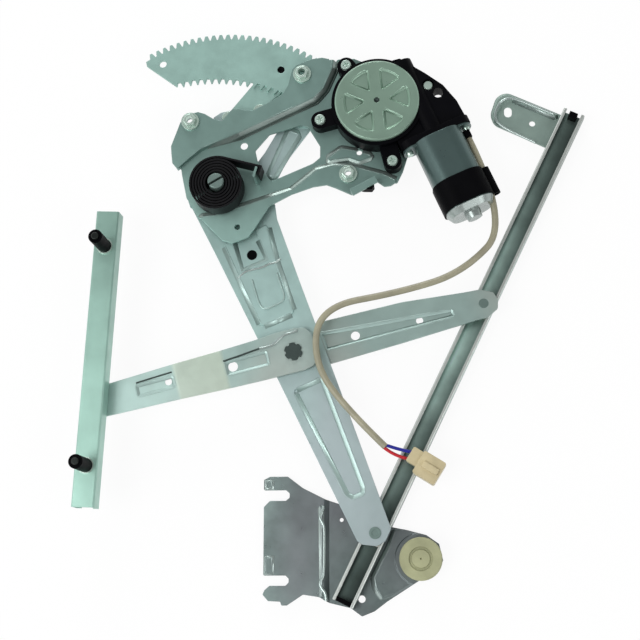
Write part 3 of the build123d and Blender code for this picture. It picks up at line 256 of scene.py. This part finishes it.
def plastic(name, colour, roughness=0.5, gloss=0.5):
    """Moulded plastic or rubber with a fine eroded grain."""
    material, tree, shader = new_material(name)
    tones = (shade(colour, 1 - mould_spread), shade(colour, 1 + mould_spread))
    tone = ramp(tree, noise(tree, *mould_noise), list(zip(mould_places, tones)))
    tree.links.new(tone, shader.inputs["Base Color"])
    shader.inputs["Specular IOR Level"].default_value = gloss
    smooth, rough = roughness - mould_gloss_spread, roughness + mould_gloss_spread
    mix_roughness(tree, shader, noise(tree, *mould_gloss_noise), smooth, rough)
    fine = noise(tree, *mould_grain_noise)
    normal = bumped(tree, fine, mould_grain, grain_height, rounded(tree, mould_edge))
    tree.links.new(normal, shader.inputs["Normal"])
    return material


# Tone along a piece, mostly painted light, shade and reflection: where it starts and ends, and (share of the
# way, tone) stops
arm_end = at(127, -285, 0)
stud_top = at(0, 0, 76.5)
# Long channel: painted reflection, dark at the top, lightest a little past the middle and dark again at the
# bottom
channel_painted_sheen = (at(300, 120, 0), at(118, -322, 0),
                [(0.0, 0.42), (0.25, 0.7), (0.45, 1.6), (0.60, 2.0), (0.72, 1.0), (1.0, 0.30)])
# Short channel: painted reflection, lighter towards the bottom
guide_painted_sheen = (at(-84, 80, 0), at(-92, -165, 0), [(0.0, 0.88), (0.5, 1.0), (1.0, 1.35)])
# Crossed arm: painted light at its left end, its own beige band, and painted shade over the recess to the
# right of the cable
cross_band_light_and_shade = (at(-80, -180, 0), at(215, -100, 0),
              [(0.0, 1.42), (0.155, 1.30), (0.165, (1.70, 1.50, 1.38)), (0.29, (1.66, 1.46, 1.32)),
               (0.30, 1.10), (0.52, 1.0), (0.60, 0.80), (0.75, 0.95), (1.0, 0.98)])
# Base plate: painted light, lighter towards its lower part
plate_painted_light = (at(0, -60, 0), at(35, 25, 0), [(0.0, 1.9), (0.45, 1.5), (0.75, 1.12), (1.0, 1.0)])
# Lift arm: darker towards its end
arm_darker_end = (at(0, 0, 0), arm_end, [(0.0, 0.95), (0.55, 1.05), (0.8, 0.95), (1.0, 0.55)])
# Lower bracket: painted reflection, lighter at its left and darker towards the roller
bracket_painted_sheen = (at(40, -290, 0), at(180, -310, 0), [(0.0, 1.15), (0.3, 1.0), (0.55, 0.80), (1.0, 0.85)])
stud_wear = (at(0, 0, 0), stud_top, [(0.80, 1.0), (0.90, 0.03)])

# Pressed sheet
plate_zinc = zinc("plate_zinc", (0.205, 0.32, 0.29), low=0.26, high=0.44, painted_light_and_tone=plate_painted_light)
arm_zinc = zinc("arm_zinc", (0.385, 0.55, 0.52), tint=(0.43, 0.50, 0.52), painted_light_and_tone=arm_darker_end)
sector_zinc = zinc("sector_zinc", (0.33, 0.51, 0.46), waves=0.1)
cross_zinc = zinc("cross_zinc", (0.34, 0.46, 0.43), tint=(0.47, 0.48, 0.44), painted_light_and_tone=cross_band_light_and_shade)
channel_zinc = zinc("channel_zinc", (0.27, 0.43, 0.37), painted_light_and_tone=guide_painted_sheen)
long_channel_zinc = zinc("long_channel_zinc", (0.15, 0.21, 0.19), metallic=0.75, low=0.26, high=0.36,
                         painted_light_and_tone=channel_painted_sheen, grain=0.03, spread=0.25)
bracket_zinc = zinc("bracket_zinc", (0.20, 0.26, 0.25), metallic=0.75, low=0.24, high=0.36,
                    tint=(0.22, 0.225, 0.245), painted_light_and_tone=bracket_painted_sheen, waves=0.35, grain=0.03, spread=0.35)
upper_zinc = zinc("upper_zinc", (0.28, 0.375, 0.335))

# Pressed edges and beads: glossier copies of the sheet, most of them lighter, that paint highlights on slopes
# and beads
bead_highlight_zinc = zinc("bead_highlight_zinc", (0.42, 0.50, 0.48), metallic=0.7, low=0.16, high=0.28, waves=0.0)
rim_highlight_zinc = zinc("rim_highlight_zinc", (0.38, 0.51, 0.48), metallic=0.6, low=0.32, high=0.44)
plate_rim_highlight_zinc = zinc("plate_rim_highlight_zinc", (0.27, 0.34, 0.315), metallic=0.65, low=0.28, high=0.42)

# Turned, cast and painted metal
bright_steel = zinc("bright_steel", (0.55, 0.70, 0.62), metallic=0.65, low=0.16, high=0.28, waves=0.0)
stud_steel = zinc("stud_steel", (0.55, 0.70, 0.62), metallic=0.65, low=0.16, high=0.28,
                  painted_light_and_tone=stud_wear, waves=0.0)
# Dark steel of the centre rivet, also used for painted shade in a hole and along pressed lines
dark_rivet_and_shade = zinc("dark_rivet_and_shade", (0.045, 0.065, 0.06), metallic=0.5)
pin_steel = zinc("pin_steel", (0.17, 0.24, 0.22), metallic=0.6)
black_steel = zinc("black_steel", (0.004, 0.004, 0.005), metallic=0.0, low=0.42, high=0.55, gloss=0.14)
can_paint = zinc("can_paint", (0.078, 0.122, 0.117), metallic=0.6, low=0.24, high=0.36)
cap_steel = zinc("cap_steel", (0.34, 0.39, 0.375), metallic=0.6, low=0.22, high=0.34)
cast_lid = zinc("cast_lid", (0.26, 0.385, 0.305), metallic=0.6, low=0.24, high=0.36)
iron = zinc("iron", (0.05, 0.05, 0.05), metallic=0.8)

# Plastic and rubber
housing_black = plastic("housing_black", (0.0020, 0.0020, 0.0030), roughness=0.42, gloss=0.05)
band_black = plastic("band_black", (0.0022, 0.0022, 0.0028), roughness=0.5, gloss=0.03)
shoe_white = plastic("shoe_white", (0.60, 0.58, 0.48))
roller_cream = plastic("roller_cream", (0.33, 0.34, 0.195), roughness=0.45)
gear_cream = plastic("gear_cream", (0.68, 0.66, 0.55))
loom_beige = plastic("loom_beige", (0.30, 0.285, 0.20), roughness=0.4)
wire_blue_skin = plastic("wire_blue_skin", (0.008, 0.012, 0.26), roughness=0.35)
wire_red_skin = plastic("wire_red_skin", (0.48, 0.012, 0.02), roughness=0.35)
connector_cream = plastic("connector_cream", (0.50, 0.43, 0.26), roughness=0.4)

node_materials = {
    "base_plate": plate_zinc,
    "weld_nut_left": bright_steel,
    "weld_nut_top": bright_steel,
    "weld_nut_lower": bright_steel,
    "bump_stop": band_black,
    "gearbox_housing": housing_black,
    "gearbox_cover": cast_lid,
    "housing_screws": bright_steel,
    "motor_can": can_paint,
    "flange_screws": bright_steel,
    "motor_band": band_black,
    "motor_cap": cap_steel,
    "magnets": iron,
    "brush_holder": housing_black,
    "cable_gland": band_black,
    "connector": connector_cream,
    "lift_arm": arm_zinc,
    "arm_plug": band_black,
    "sector_gear": sector_zinc,
    "sector_rivets": bright_steel,
    "pivot_pin": pin_steel,
    "pivot_washer": pin_steel,
    "lower_slider_pin": pin_steel,
    "counter_spring": black_steel,
    "cross_arm_front": cross_zinc,
    "cross_arm_rear": cross_zinc,
    "centre_rivet": dark_rivet_and_shade,
    "upper_slider_pin": pin_steel,
    "guide_slider_pin": pin_steel,
    "lower_shoe": shoe_white,
    "upper_shoe": shoe_white,
    "guide_shoe": shoe_white,
    "lift_channel": long_channel_zinc,
    "channel_stops": band_black,
    "upper_bracket": upper_zinc,
    "lower_bracket": bracket_zinc,
    "roller_pin": pin_steel,
    "glass_roller": roller_cream,
    "guide_channel": channel_zinc,
    "guide_studs": stud_steel,
    "stud_sleeves": band_black,
    "output_pinion": bright_steel,
    "worm_wheel": gear_cream,
    "armature": iron,
    "worm": bright_steel,
    "cable": loom_beige,
    "wire_blue": wire_blue_skin,
    "wire_red": wire_red_skin,
}
for name, material in node_materials.items():
    for slot in nodes[name].material_slots:
        slot.material = material

# Painted highlight on the cut edges along the tops of the long channel's flanges
flange_highlight_colour = (0.60, 0.64, 0.61)
flange_highlight_stops = [(0.2, 0.0), (0.6, 1.0)]
lip_depth = Vector((0.0, 0.0, 1.0 * MM))
channel_height = Vector((0.0, 0.0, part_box("lift_channel")[1][2]))
flange_top = nodes["lift_channel"].matrix_world.translation + channel_height
channel_tree = long_channel_zinc.node_tree
channel_colour = channel_tree.nodes["Principled BSDF"].inputs["Base Color"]
flange_highlight = ramp(channel_tree, along(channel_tree, flange_top - lip_depth, flange_top), flange_highlight_stops)

# Painted reflection in bands along the long channel, lighter on its left
across_channel = Vector((0.8988, -0.4384, 0.0))
half_width = 10.0
sheen_reach = across_channel * half_width * MM
sheen_stops = [(0.05, 0.8), (0.28, 2.6), (0.50, 1.6), (0.75, 0.9), (0.95, 1.2)]
sheen_run = along(channel_tree, arm_end - sheen_reach, arm_end + sheen_reach)
sheen_bands = ramp(channel_tree, sheen_run, sheen_stops)
plain_tone = channel_colour.links[0].from_socket
sheen_banded = blended(channel_tree, 1.0, plain_tone, sheen_bands, "MULTIPLY")
# Painted reflection bands and painted flange highlight over the channel's own tone
channel_tree.links.new(blended(channel_tree, flange_highlight, sheen_banded, flange_highlight_colour), channel_colour)

# Pieces made from a mesh
weld_distance = 0.001 * MM
flat_angle = radians(0.5)


def clean_mesh(node):
    """A node's mesh in the row frame, welded and with flat areas merged."""
    mesh = bmesh.new()
    mesh.from_mesh(node.data)
    mesh.transform(node.matrix_world)
    bmesh.ops.remove_doubles(mesh, verts=mesh.verts, dist=weld_distance)
    bmesh.ops.dissolve_limit(mesh, angle_limit=flat_angle, verts=mesh.verts, edges=mesh.edges)
    mesh.normal_update()
    mesh.edges.index_update()
    return mesh


def on_top(name, starts):
    """Points on a node's upper face, straight below some other points."""
    mesh = clean_mesh(nodes[name])
    tree = BVHTree.FromBMesh(mesh)
    mesh.free()
    return [tree.ray_cast(start, straight_down)[0] for start in starts]


def smooth_piece(name, mesh, material):
    """Smooth-shaded object from a mesh, which is freed."""
    bmesh.ops.recalc_face_normals(mesh, faces=mesh.faces)
    data = bpy.data.meshes.new(name)
    mesh.to_mesh(data)
    mesh.free()
    data.polygons.foreach_set("use_smooth", [True] * len(data.polygons))
    data.materials.append(material)
    return added(name, data)


def lathe(name, profile, place, material, sides=36):
    """Closed turned piece on an upright axis, from (radius, height) points in millimetres off a place."""
    turned = bmesh.new()
    rings = []
    for radius, height in profile:
        turns = [2 * pi * k / sides for k in range(sides)] if radius else [0.0]
        points = [Vector((radius * cos(turn), radius * sin(turn), height)) for turn in turns]
        rings.append([turned.verts.new(place + point * MM) for point in points])
    for one, two in zip(rings, rings[1:]):
        for k in range(sides):
            after = k + 1
            corners = [one[k % len(one)], one[after % len(one)], two[after % len(two)], two[k % len(two)]]
            turned.faces.new([corner for i, corner in enumerate(corners) if corner not in corners[:i]])
    return smooth_piece(name, turned, material)


# Pressed slopes: the frame's sheet steps are upright, so a thin strip turns each one into a smooth slope
slope_sides = 6
slope_ledge = 0.04 * MM
slope_inset = 0.8 * MM
slope_per_rise = 0.9
foot_inset = 0.02 * MM
foot_depth = 0.25 * MM
heel_depth = 0.5 * MM

# What counts as a step, and as one line of steps
wall_normal = 0.8
level_normal = 0.9
lowest_step = 0.5 * MM
join_gap = 2.6 * MM
same_rise = 0.1 * MM
same_place = 0.02 * MM

# How the room below a step is probed
least_width = 0.3 * MM
probe_height = 0.5 * MM
probe_slack = 0.2 * MM
probe_reach = 1.0 * MM
probe_shrink = 0.8


def step_walls(mesh, highest):
    """Walls that join a higher flat to a lower one: (upper edge, rise, direction down the step)."""
    found = []
    for wall in mesh.faces:
        if abs(wall.normal.z) > wall_normal:
            continue
        top, bottom = None, None
        for edge in wall.edges:
            others = [face for face in edge.link_faces if face is not wall]
            if len(others) != 1 or others[0].normal.z < level_normal:
                continue
            if edge.calc_face_angle_signed() > 0:
                top = edge
            else:
                bottom = edge
        if top and bottom:
            rise = top.verts[0].co.z - bottom.verts[0].co.z
            downhill = Vector((wall.normal.x, wall.normal.y, 0.0)).normalized()
            if lowest_step < rise < highest:
                found.append((top, rise, downhill))
    return found


def edge_runs(walls):
    """Runs of upper edges that share ends, as lists of (place, rise, direction down)."""
    links = {}
    for edge, rise, downhill in walls:
        for vertex in edge.verts:
            links.setdefault(vertex, []).append((edge, rise, downhill))
    unused = {edge for edge, _, _ in walls}
    runs = []
    while unused:
        ordered = sorted(unused, key=lambda edge: edge.index)
        ends = [vertex for edge in ordered for vertex in edge.verts if len(links[vertex]) == 1]
        vertex = ends[0] if ends else ordered[0].verts[0]
        run = [vertex]
        step = ordered[0]
        while step:
            step = next((edge for edge, _, _ in links[vertex] if edge in unused), None)
            if step:
                unused.discard(step)
                vertex = step.other_vert(vertex)
                run.append(vertex)
        rows = []
        for vertex in run:
            around = links[vertex]
            downhill = sum((way for _, _, way in around), Vector()).normalized()
            rows.append((vertex.co.copy(), max(rise for _, rise, _ in around), downhill))
        runs.append(rows)
    return runs


def near(one, two):
    """True where two rows are the ends of one pressed line."""
    return (one[0] - two[0]).length < join_gap and abs(one[1] - two[1]) < same_rise


def joined_runs(runs):
    """Runs linked across the small corners between them, each with whether it closes on itself."""
    waiting = sorted(runs, key=len, reverse=True)
    whole = []
    while waiting:
        run = waiting.pop(0)
        grown = True
        while grown:
            grown = False
            for other in waiting:
                if near(run[-1], other[0]):
                    run = run + other
                elif near(run[-1], other[-1]):
                    run = run + other[::-1]
                elif near(run[0], other[-1]):
                    run = other + run
                elif near(run[0], other[0]):
                    run = other[::-1] + run
                else:
                    continue
                waiting.remove(other)
                grown = True
                break
        spaced = [row for before, row in zip(run, run[1:]) if (row[0] - before[0]).length > same_place]
        kept = [run[0]] + spaced
        closed = len(kept) > 3 and near(kept[0], kept[-1])
        if closed and (kept[0][0] - kept[-1][0]).length < same_place:
            kept.pop()
        whole.append((kept, closed))
    return whole


def free_width(place, rise, downhill, width, tree):
    """The most of a width that the lower flat has room for below a step."""
    span = width
    while span > least_width:
        probe = place + downhill * span
        probe.z += probe_height - rise
        hit, normal, _, distance = tree.ray_cast(probe, straight_down, probe_reach)
        if hit and normal.z > level_normal and abs(distance - probe_height) < probe_slack:
            return span
        span *= probe_shrink
    return span


def add_slope(target, rows, closed, width, tree):
    """Closed thin strip over one run: flat at both edges and steepest in the middle."""
    reach = [free_width(place, rise, downhill, width + slope_per_rise * rise, tree)
             for place, rise, downhill in rows]
    rings = []
    for index, (place, rise, downhill) in enumerate(rows):
        if closed:
            around = [reach[index - 1], reach[index], reach[(index + 1) % len(rows)]]
        else:
            around = reach[max(index - 1, 0):index + 2]
        span = min(around)
        ring = []
        for side in range(slope_sides + 1):
            share = side / slope_sides
            drop = share * share * (3 - 2 * share)
            point = place + downhill * (share * (span + slope_inset) - slope_inset)
            point.z = place.z + slope_ledge - drop * rise
            ring.append(target.verts.new(point))
        foot = place + downhill * (span - foot_inset)
        foot.z = place.z - rise - foot_depth
        heel = place - downhill * slope_inset
        heel.z = place.z - heel_depth
        rings.append(ring + [target.verts.new(foot), target.verts.new(heel)])
    size = len(rings[0])
    following = rings[1:] + rings[:1] if closed else rings[1:]
    for one, two in zip(rings, following):
        for k in range(size):
            target.faces.new((one[k], one[(k + 1) % size], two[(k + 1) % size], two[k]))
    if not closed:
        target.faces.new(rings[0][::-1])
        target.faces.new(rings[-1])


def line_rows(route, rise):
    """Rows along a line of corners, with the lower level to its right and a fan at each outer corner."""
    ways = []
    for one, two in zip(route, route[1:]):
        run = (two - one).normalized()
        ways.append(Vector((run.y, -run.x, 0.0)))
    rows = [(route[0], rise, ways[0])]
    for corner, before, after in zip(route[1:], ways, ways[1:]):
        middle = (before + after).normalized()
        outward = before.cross(after).z > 0
        rows += [(corner, rise, way) for way in ((before, middle, after) if outward else (middle,))]
    rows.append((route[-1], rise, ways[-1]))
    return rows


def pressed_slopes(name, width, highest, lines, material):
    """Piece with the slope of every step on one node, and of some listed lines."""
    mesh = clean_mesh(nodes[name])
    tree = BVHTree.FromBMesh(mesh)
    target = bmesh.new()
    for rows, closed in joined_runs(edge_runs(step_walls(mesh, highest))):
        add_slope(target, rows, closed, width, tree)
    for route, rise in lines:
        add_slope(target, line_rows(route, rise), False, width, tree)
    mesh.free()
    return smooth_piece(name + "_slopes", target, material)


# Pressed nodes: body, slot, width of slope and highest step in millimetres, and the slope's material, most of
# them copies that paint a highlight on the slope
pressed_nodes = {
    "base_plate": ("frame", "base_steel", 2.0, 2.5, plate_rim_highlight_zinc),
    "gearbox_cover": ("frame", "cover_metal", 0.6, 2.0, cast_lid),
    "lift_arm": ("lift_arm", "arm_steel", 2.4, 9.0, rim_highlight_zinc),
    "cross_arm_front": ("cross_arm", "cross_steel", 1.4, 9.0, rim_highlight_zinc),
    "cross_arm_rear": ("cross_arm", "cross_steel", 1.4, 9.0, rim_highlight_zinc),
    "upper_bracket": ("lift_channel", "bracket_steel", 1.2, 9.0, bead_highlight_zinc),
    "lower_bracket": ("lift_channel", "bracket_steel", 1.6, 9.0, bead_highlight_zinc),
}
plate_line = ((-37.5, 19.6), (-17.0, 36.0), (15.0, 49.0), (50.0, 65.0), (79.0, 78.0), (87.0, 87.0),
              (94.0, 103.0), (95.0, 111.0))
plate_line_top = 31.0
plate_line_rise = 4.0 * MM
step_lines = {"base_plate": [([at(x, y, plate_line_top) for x, y in plate_line], plate_line_rise)]}
for name, (body, slot, width, highest, material) in pressed_nodes.items():
    slopes = pressed_slopes(name, width * MM, highest * MM, step_lines.get(name, ()), material)
    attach(slopes, body)

# Dark dished disc in the sector's right hole, painting the shade in it
hole_shade_profile = [(0.0, 21.9), (3.15, 21.9), (3.15, 23.3), (2.9, 23.5), (2.5, 23.3), (2.1, 22.9), (0.0, 22.8)]
sector_hole_shade = lathe("sector_hole_shade", hole_shade_profile, at(50.0, 107.5, 0.0), band_black)
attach(sector_hole_shade, "lift_arm")

# Dark dished disc on the gearbox lid's drilled centre, painting the shade in the hole
lid_low, lid_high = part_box("gearbox_cover")
lid_centre = Vector(((lid_low[0] + lid_high[0]) / 2, (lid_low[1] + lid_high[1]) / 2, lid_high[2] + MM))
drill_shade_profile = [(0.0, -0.3), (2.35, -0.3), (2.35, 1.9), (1.9, 1.9), (1.7, 0.5), (0.0, 0.4)]
lid_drill_shade = lathe("lid_drill_shade", drill_shade_profile, on_top("gearbox_cover", [lid_centre])[0], dark_rivet_and_shade)
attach(lid_drill_shade, "frame")


# Cords and beads
def cord_curve(name, route, radius, material):
    """Round cord or bead on one smooth spline, with a route's points as its control points."""
    data = bpy.data.curves.new(name, "CURVE")
    data.dimensions = "3D"
    data.bevel_depth = radius
    data.bevel_resolution = 6
    data.use_fill_caps = True
    data.resolution_u = 24
    spline = data.splines.new("NURBS")
    spline.points.add(len(route) - 1)
    for point, place in zip(spline.points, route):
        point.co = (*place, 1.0)
    spline.order_u = 3
    spline.use_endpoint_u = True
    data.materials.append(material)
    return added(name, data)


def spline_length(piece):
    """Length of a cord's own centreline."""
    data = piece.data.copy()
    data.bevel_depth = 0.0
    probe = bpy.data.objects.new("probe", data)
    mesh = bpy.data.meshes.new_from_object(probe)
    ends = [[mesh.vertices[end].co for end in edge.vertices] for edge in mesh.edges]
    length = sum((one - two).length for one, two in ends)
    bpy.data.objects.remove(probe)
    bpy.data.meshes.remove(mesh)
    bpy.data.curves.remove(data)
    return length


# Rolled beads in a lighter material that paints their highlight: the lower bracket's step and the upper
# bracket's rim
step_places = ((84.6, -262.5), (83.6, -268.0), (81.2, -271.5), (84.0, -276.0), (85.4, -280.0), (85.2, -300.0),
               (84.8, -318.0), (81.4, -323.0), (83.2, -328.0), (86.6, -331.5), (86.8, -337.5))
rim_places = ((281.0, 66.2), (273.4, 70.0), (263.5, 74.8), (250.3, 80.6), (243.6, 82.4), (237.2, 80.0),
              (232.6, 72.9), (231.2, 65.8), (234.2, 59.1), (244.3, 52.5), (255.0, 46.7), (264.5, 41.6))
bracket_beads = {"step_bead": (step_places, 4.6, 1.5), "rim_bead": (rim_places, 3.4, 1.2)}
for name, (places, height, radius) in bracket_beads.items():
    bead = cord_curve(name, [at(x, y, height) for x, y in places], radius * MM, bead_highlight_zinc)
    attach(bead, "lift_channel")

# Pressed lines of the crossed arm: dark cords paint the shade of the line on the left, and a lighter one
# paints its highlight where it bends round the rivet
edge_places = ((4.2, -145.8), (14.0, -142.7), (24.7, -138.9), (36.2, -135.0))
slot_places = ((-67.2, -163.2), (-57.3, -160.3), (-47.4, -157.3), (-37.9, -154.6))
bend_places = ((34.0, -135.8), (42.0, -134.1), (46.9, -132.1), (50.6, -127.6), (55.1, -124.3),
               (60.8, -123.0), (64.9, -121.2))

# Pressed lines of the lift arm: the step across it and the tray below that, as cords in glossier copies of
# the sheet that paint their highlights
panel_places = ((14.9, -75.2), (19.0, -70.2), (26.9, -68.1), (35.3, -66.6), (41.1, -63.3), (46.9, -62.4),
                (49.9, -59.4))
tray_places = ((26.6, -76.8), (29.6, -87.1), (33.5, -99.5), (38.1, -102.4), (46.4, -98.9), (52.6, -95.7),
               (54.0, -91.1), (50.4, -80.8), (47.4, -71.4))
arm_lines = {
    "arm_edge_shade": ("cross_arm_front", edge_places, 0.8, dark_rivet_and_shade),
    "slot_edge_shade": ("cross_arm_front", slot_places, 0.7, dark_rivet_and_shade),
    "arm_bend_highlight": ("cross_arm_front", bend_places, 1.2, bead_highlight_zinc),
    "panel_step_highlight": ("lift_arm", panel_places, 1.0, bead_highlight_zinc),
    "panel_tray_highlight": ("lift_arm", tray_places, 0.9, rim_highlight_zinc),
}
above_arms = 100.0
for name, (node, places, radius, material) in arm_lines.items():
    route = on_top(node, [at(x, y, above_arms) for x, y in places])
    bead = cord_curve(name, route, radius * MM, material)
    body, slot = pressed_nodes[node][:2]
    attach(bead, body)

# Motor axis and the cable's line beside it, as in the part's source
gear_reach = 149.0
gear_turn = radians(26.8)
motor_turn = radians(-66.5)
side_turn = radians(23.5)
motor_offset = 32.0
motor_z = 37.0
cable_side = 23.8
cable_start = 59.7
cable_straight_end = 139.0
gear_at = Vector((gear_reach * cos(gear_turn), gear_reach * sin(gear_turn), 0.0))
motor_ahead = Vector((cos(motor_turn), sin(motor_turn), 0.0))
motor_side = Vector((cos(side_turn), sin(side_turn), 0.0))
motor_line = gear_at + motor_side * motor_offset


def beside_motor(distance):
    """Point on the cable's line beside the motor, at a distance along the motor's axis."""
    place = motor_line + motor_ahead * distance + motor_side * cable_side
    return at(place.x, place.y, motor_z)


# Cable and its two wires, over the same route points as the part's source
cable_route = [beside_motor(cable_start), beside_motor(cable_straight_end), at(201, -77, 29.5),
               at(150, -92, 28.5), at(83, -103, 28.5), at(79, -150, 28.5), at(106, -188, 28),
               at(136, -217.5, 25)]
blue_route = [at(136.3, -216.1, 25), at(146.5, -219.8, 24), at(158.5, -221.9, 21.5)]
red_route = [at(134.6, -217.8, 25), at(143.6, -225.3, 23), at(155.3, -226.9, 20.5)]
loom_radius = 2.75 * MM
wire_radius = 1.35 * MM

loom = cord_curve("loom", cable_route, loom_radius, loom_beige)
blue_wire = cord_curve("blue_wire", blue_route, wire_radius, wire_blue_skin)
red_wire = cord_curve("red_wire", red_route, wire_radius, wire_red_skin)
for piece, node in ((loom, "cable"), (blue_wire, "wire_blue"), (red_wire, "wire_red")):
    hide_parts(node)
    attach(piece, "frame")
spline_length(loom)

# Stage: white floor that keeps a faint shadow
floor_size = 40.0
floor_drop = 0.5 * MM
floor_share = 0.92
floor_grey = 0.9
floor_roughness = 0.9
bpy.ops.mesh.primitive_plane_add(size=floor_size, location=(0.0, 0.0, -floor_drop))
floor = bpy.context.object
floor.name = "floor"
floor_material, tree, shader = new_material("floor_white")
shader.inputs["Base Color"].default_value = (*tone_of(floor_grey), 1.0)
shader.inputs["Roughness"].default_value = floor_roughness
glow = tree.nodes.new("ShaderNodeEmission")
glow.inputs["Color"].default_value = (1.0, 1.0, 1.0, 1.0)
blend = tree.nodes.new("ShaderNodeMixShader")
light_path = tree.nodes.new("ShaderNodeLightPath")
seen = light_path.outputs["Is Camera Ray"]
for ray in ("Is Glossy Ray", "Is Transmission Ray"):
    seen = calculated(tree, "MAXIMUM", seen, light_path.outputs[ray])
tree.links.new(calculated(tree, "MULTIPLY", seen, floor_share), blend.inputs["Fac"])
tree.links.new(shader.outputs["BSDF"], blend.inputs[1])
tree.links.new(glow.outputs["Emission"], blend.inputs[2])
tree.links.new(blend.outputs["Shader"], tree.nodes["Material Output"].inputs["Surface"])
floor.data.materials.append(floor_material)

# World: soft light, dimmer overhead and to the right, over a white horizon
sky_strength = 1.0
side_start, side_end = -0.6, 0.4
height_stops = [(0.0, 1.0), (0.14, 1.0), (0.28, 0.85), (0.60, 0.80), (0.85, 0.50), (1.0, 0.50)]
side_stops = [(0.0, 1.0), (1.0, 0.48)]
above_stops = [(0.14, 0.0), (0.30, 1.0)]

world = bpy.data.worlds.new("world")
world.use_nodes = True
sky = world.node_tree
direction = sky.nodes.new("ShaderNodeSeparateXYZ")
sky.links.new(sky.nodes.new("ShaderNodeTexCoord").outputs["Generated"], direction.inputs["Vector"])
sideways = sky.nodes.new("ShaderNodeMapRange")
sideways.inputs["From Min"].default_value = side_start
sideways.inputs["From Max"].default_value = side_end
sky.links.new(direction.outputs["X"], sideways.inputs["Value"])
height_tone = ramp(sky, direction.outputs["Z"], height_stops)
side_tone = ramp(sky, sideways.outputs["Result"], side_stops)
above = ramp(sky, direction.outputs["Z"], above_stops)
sky_tone = blended(sky, above, height_tone, blended(sky, 1.0, height_tone, side_tone, "MULTIPLY"))
sky.links.new(sky_tone, sky.nodes["Background"].inputs["Color"])
sky.nodes["Background"].inputs["Strength"].default_value = sky_strength
bpy.context.scene.world = world

# Lamps: place, side of the lamp and power, all facing the middle of the floor
lamps = {
    "key": ((-1.5, -0.9, 2.6), 1.8, 44.0),
    "edge": ((-0.5, 2.6, 1.0), 1.0, 28.0),
    "fill": ((1.6, -1.0, 1.8), 1.4, 14.0),
}
floor_middle = Vector((0.0, 0.0, 0.0))
for name, (place, size, power) in lamps.items():
    data = bpy.data.lights.new(name, "AREA")
    data.size = size
    data.energy = power
    lamp = added(name, data)
    lamp.location = place
    lamp.rotation_euler = (floor_middle - Vector(place)).to_track_quat("-Z", "Y").to_euler()

bpy.context.scene.view_settings.view_transform = "Standard"
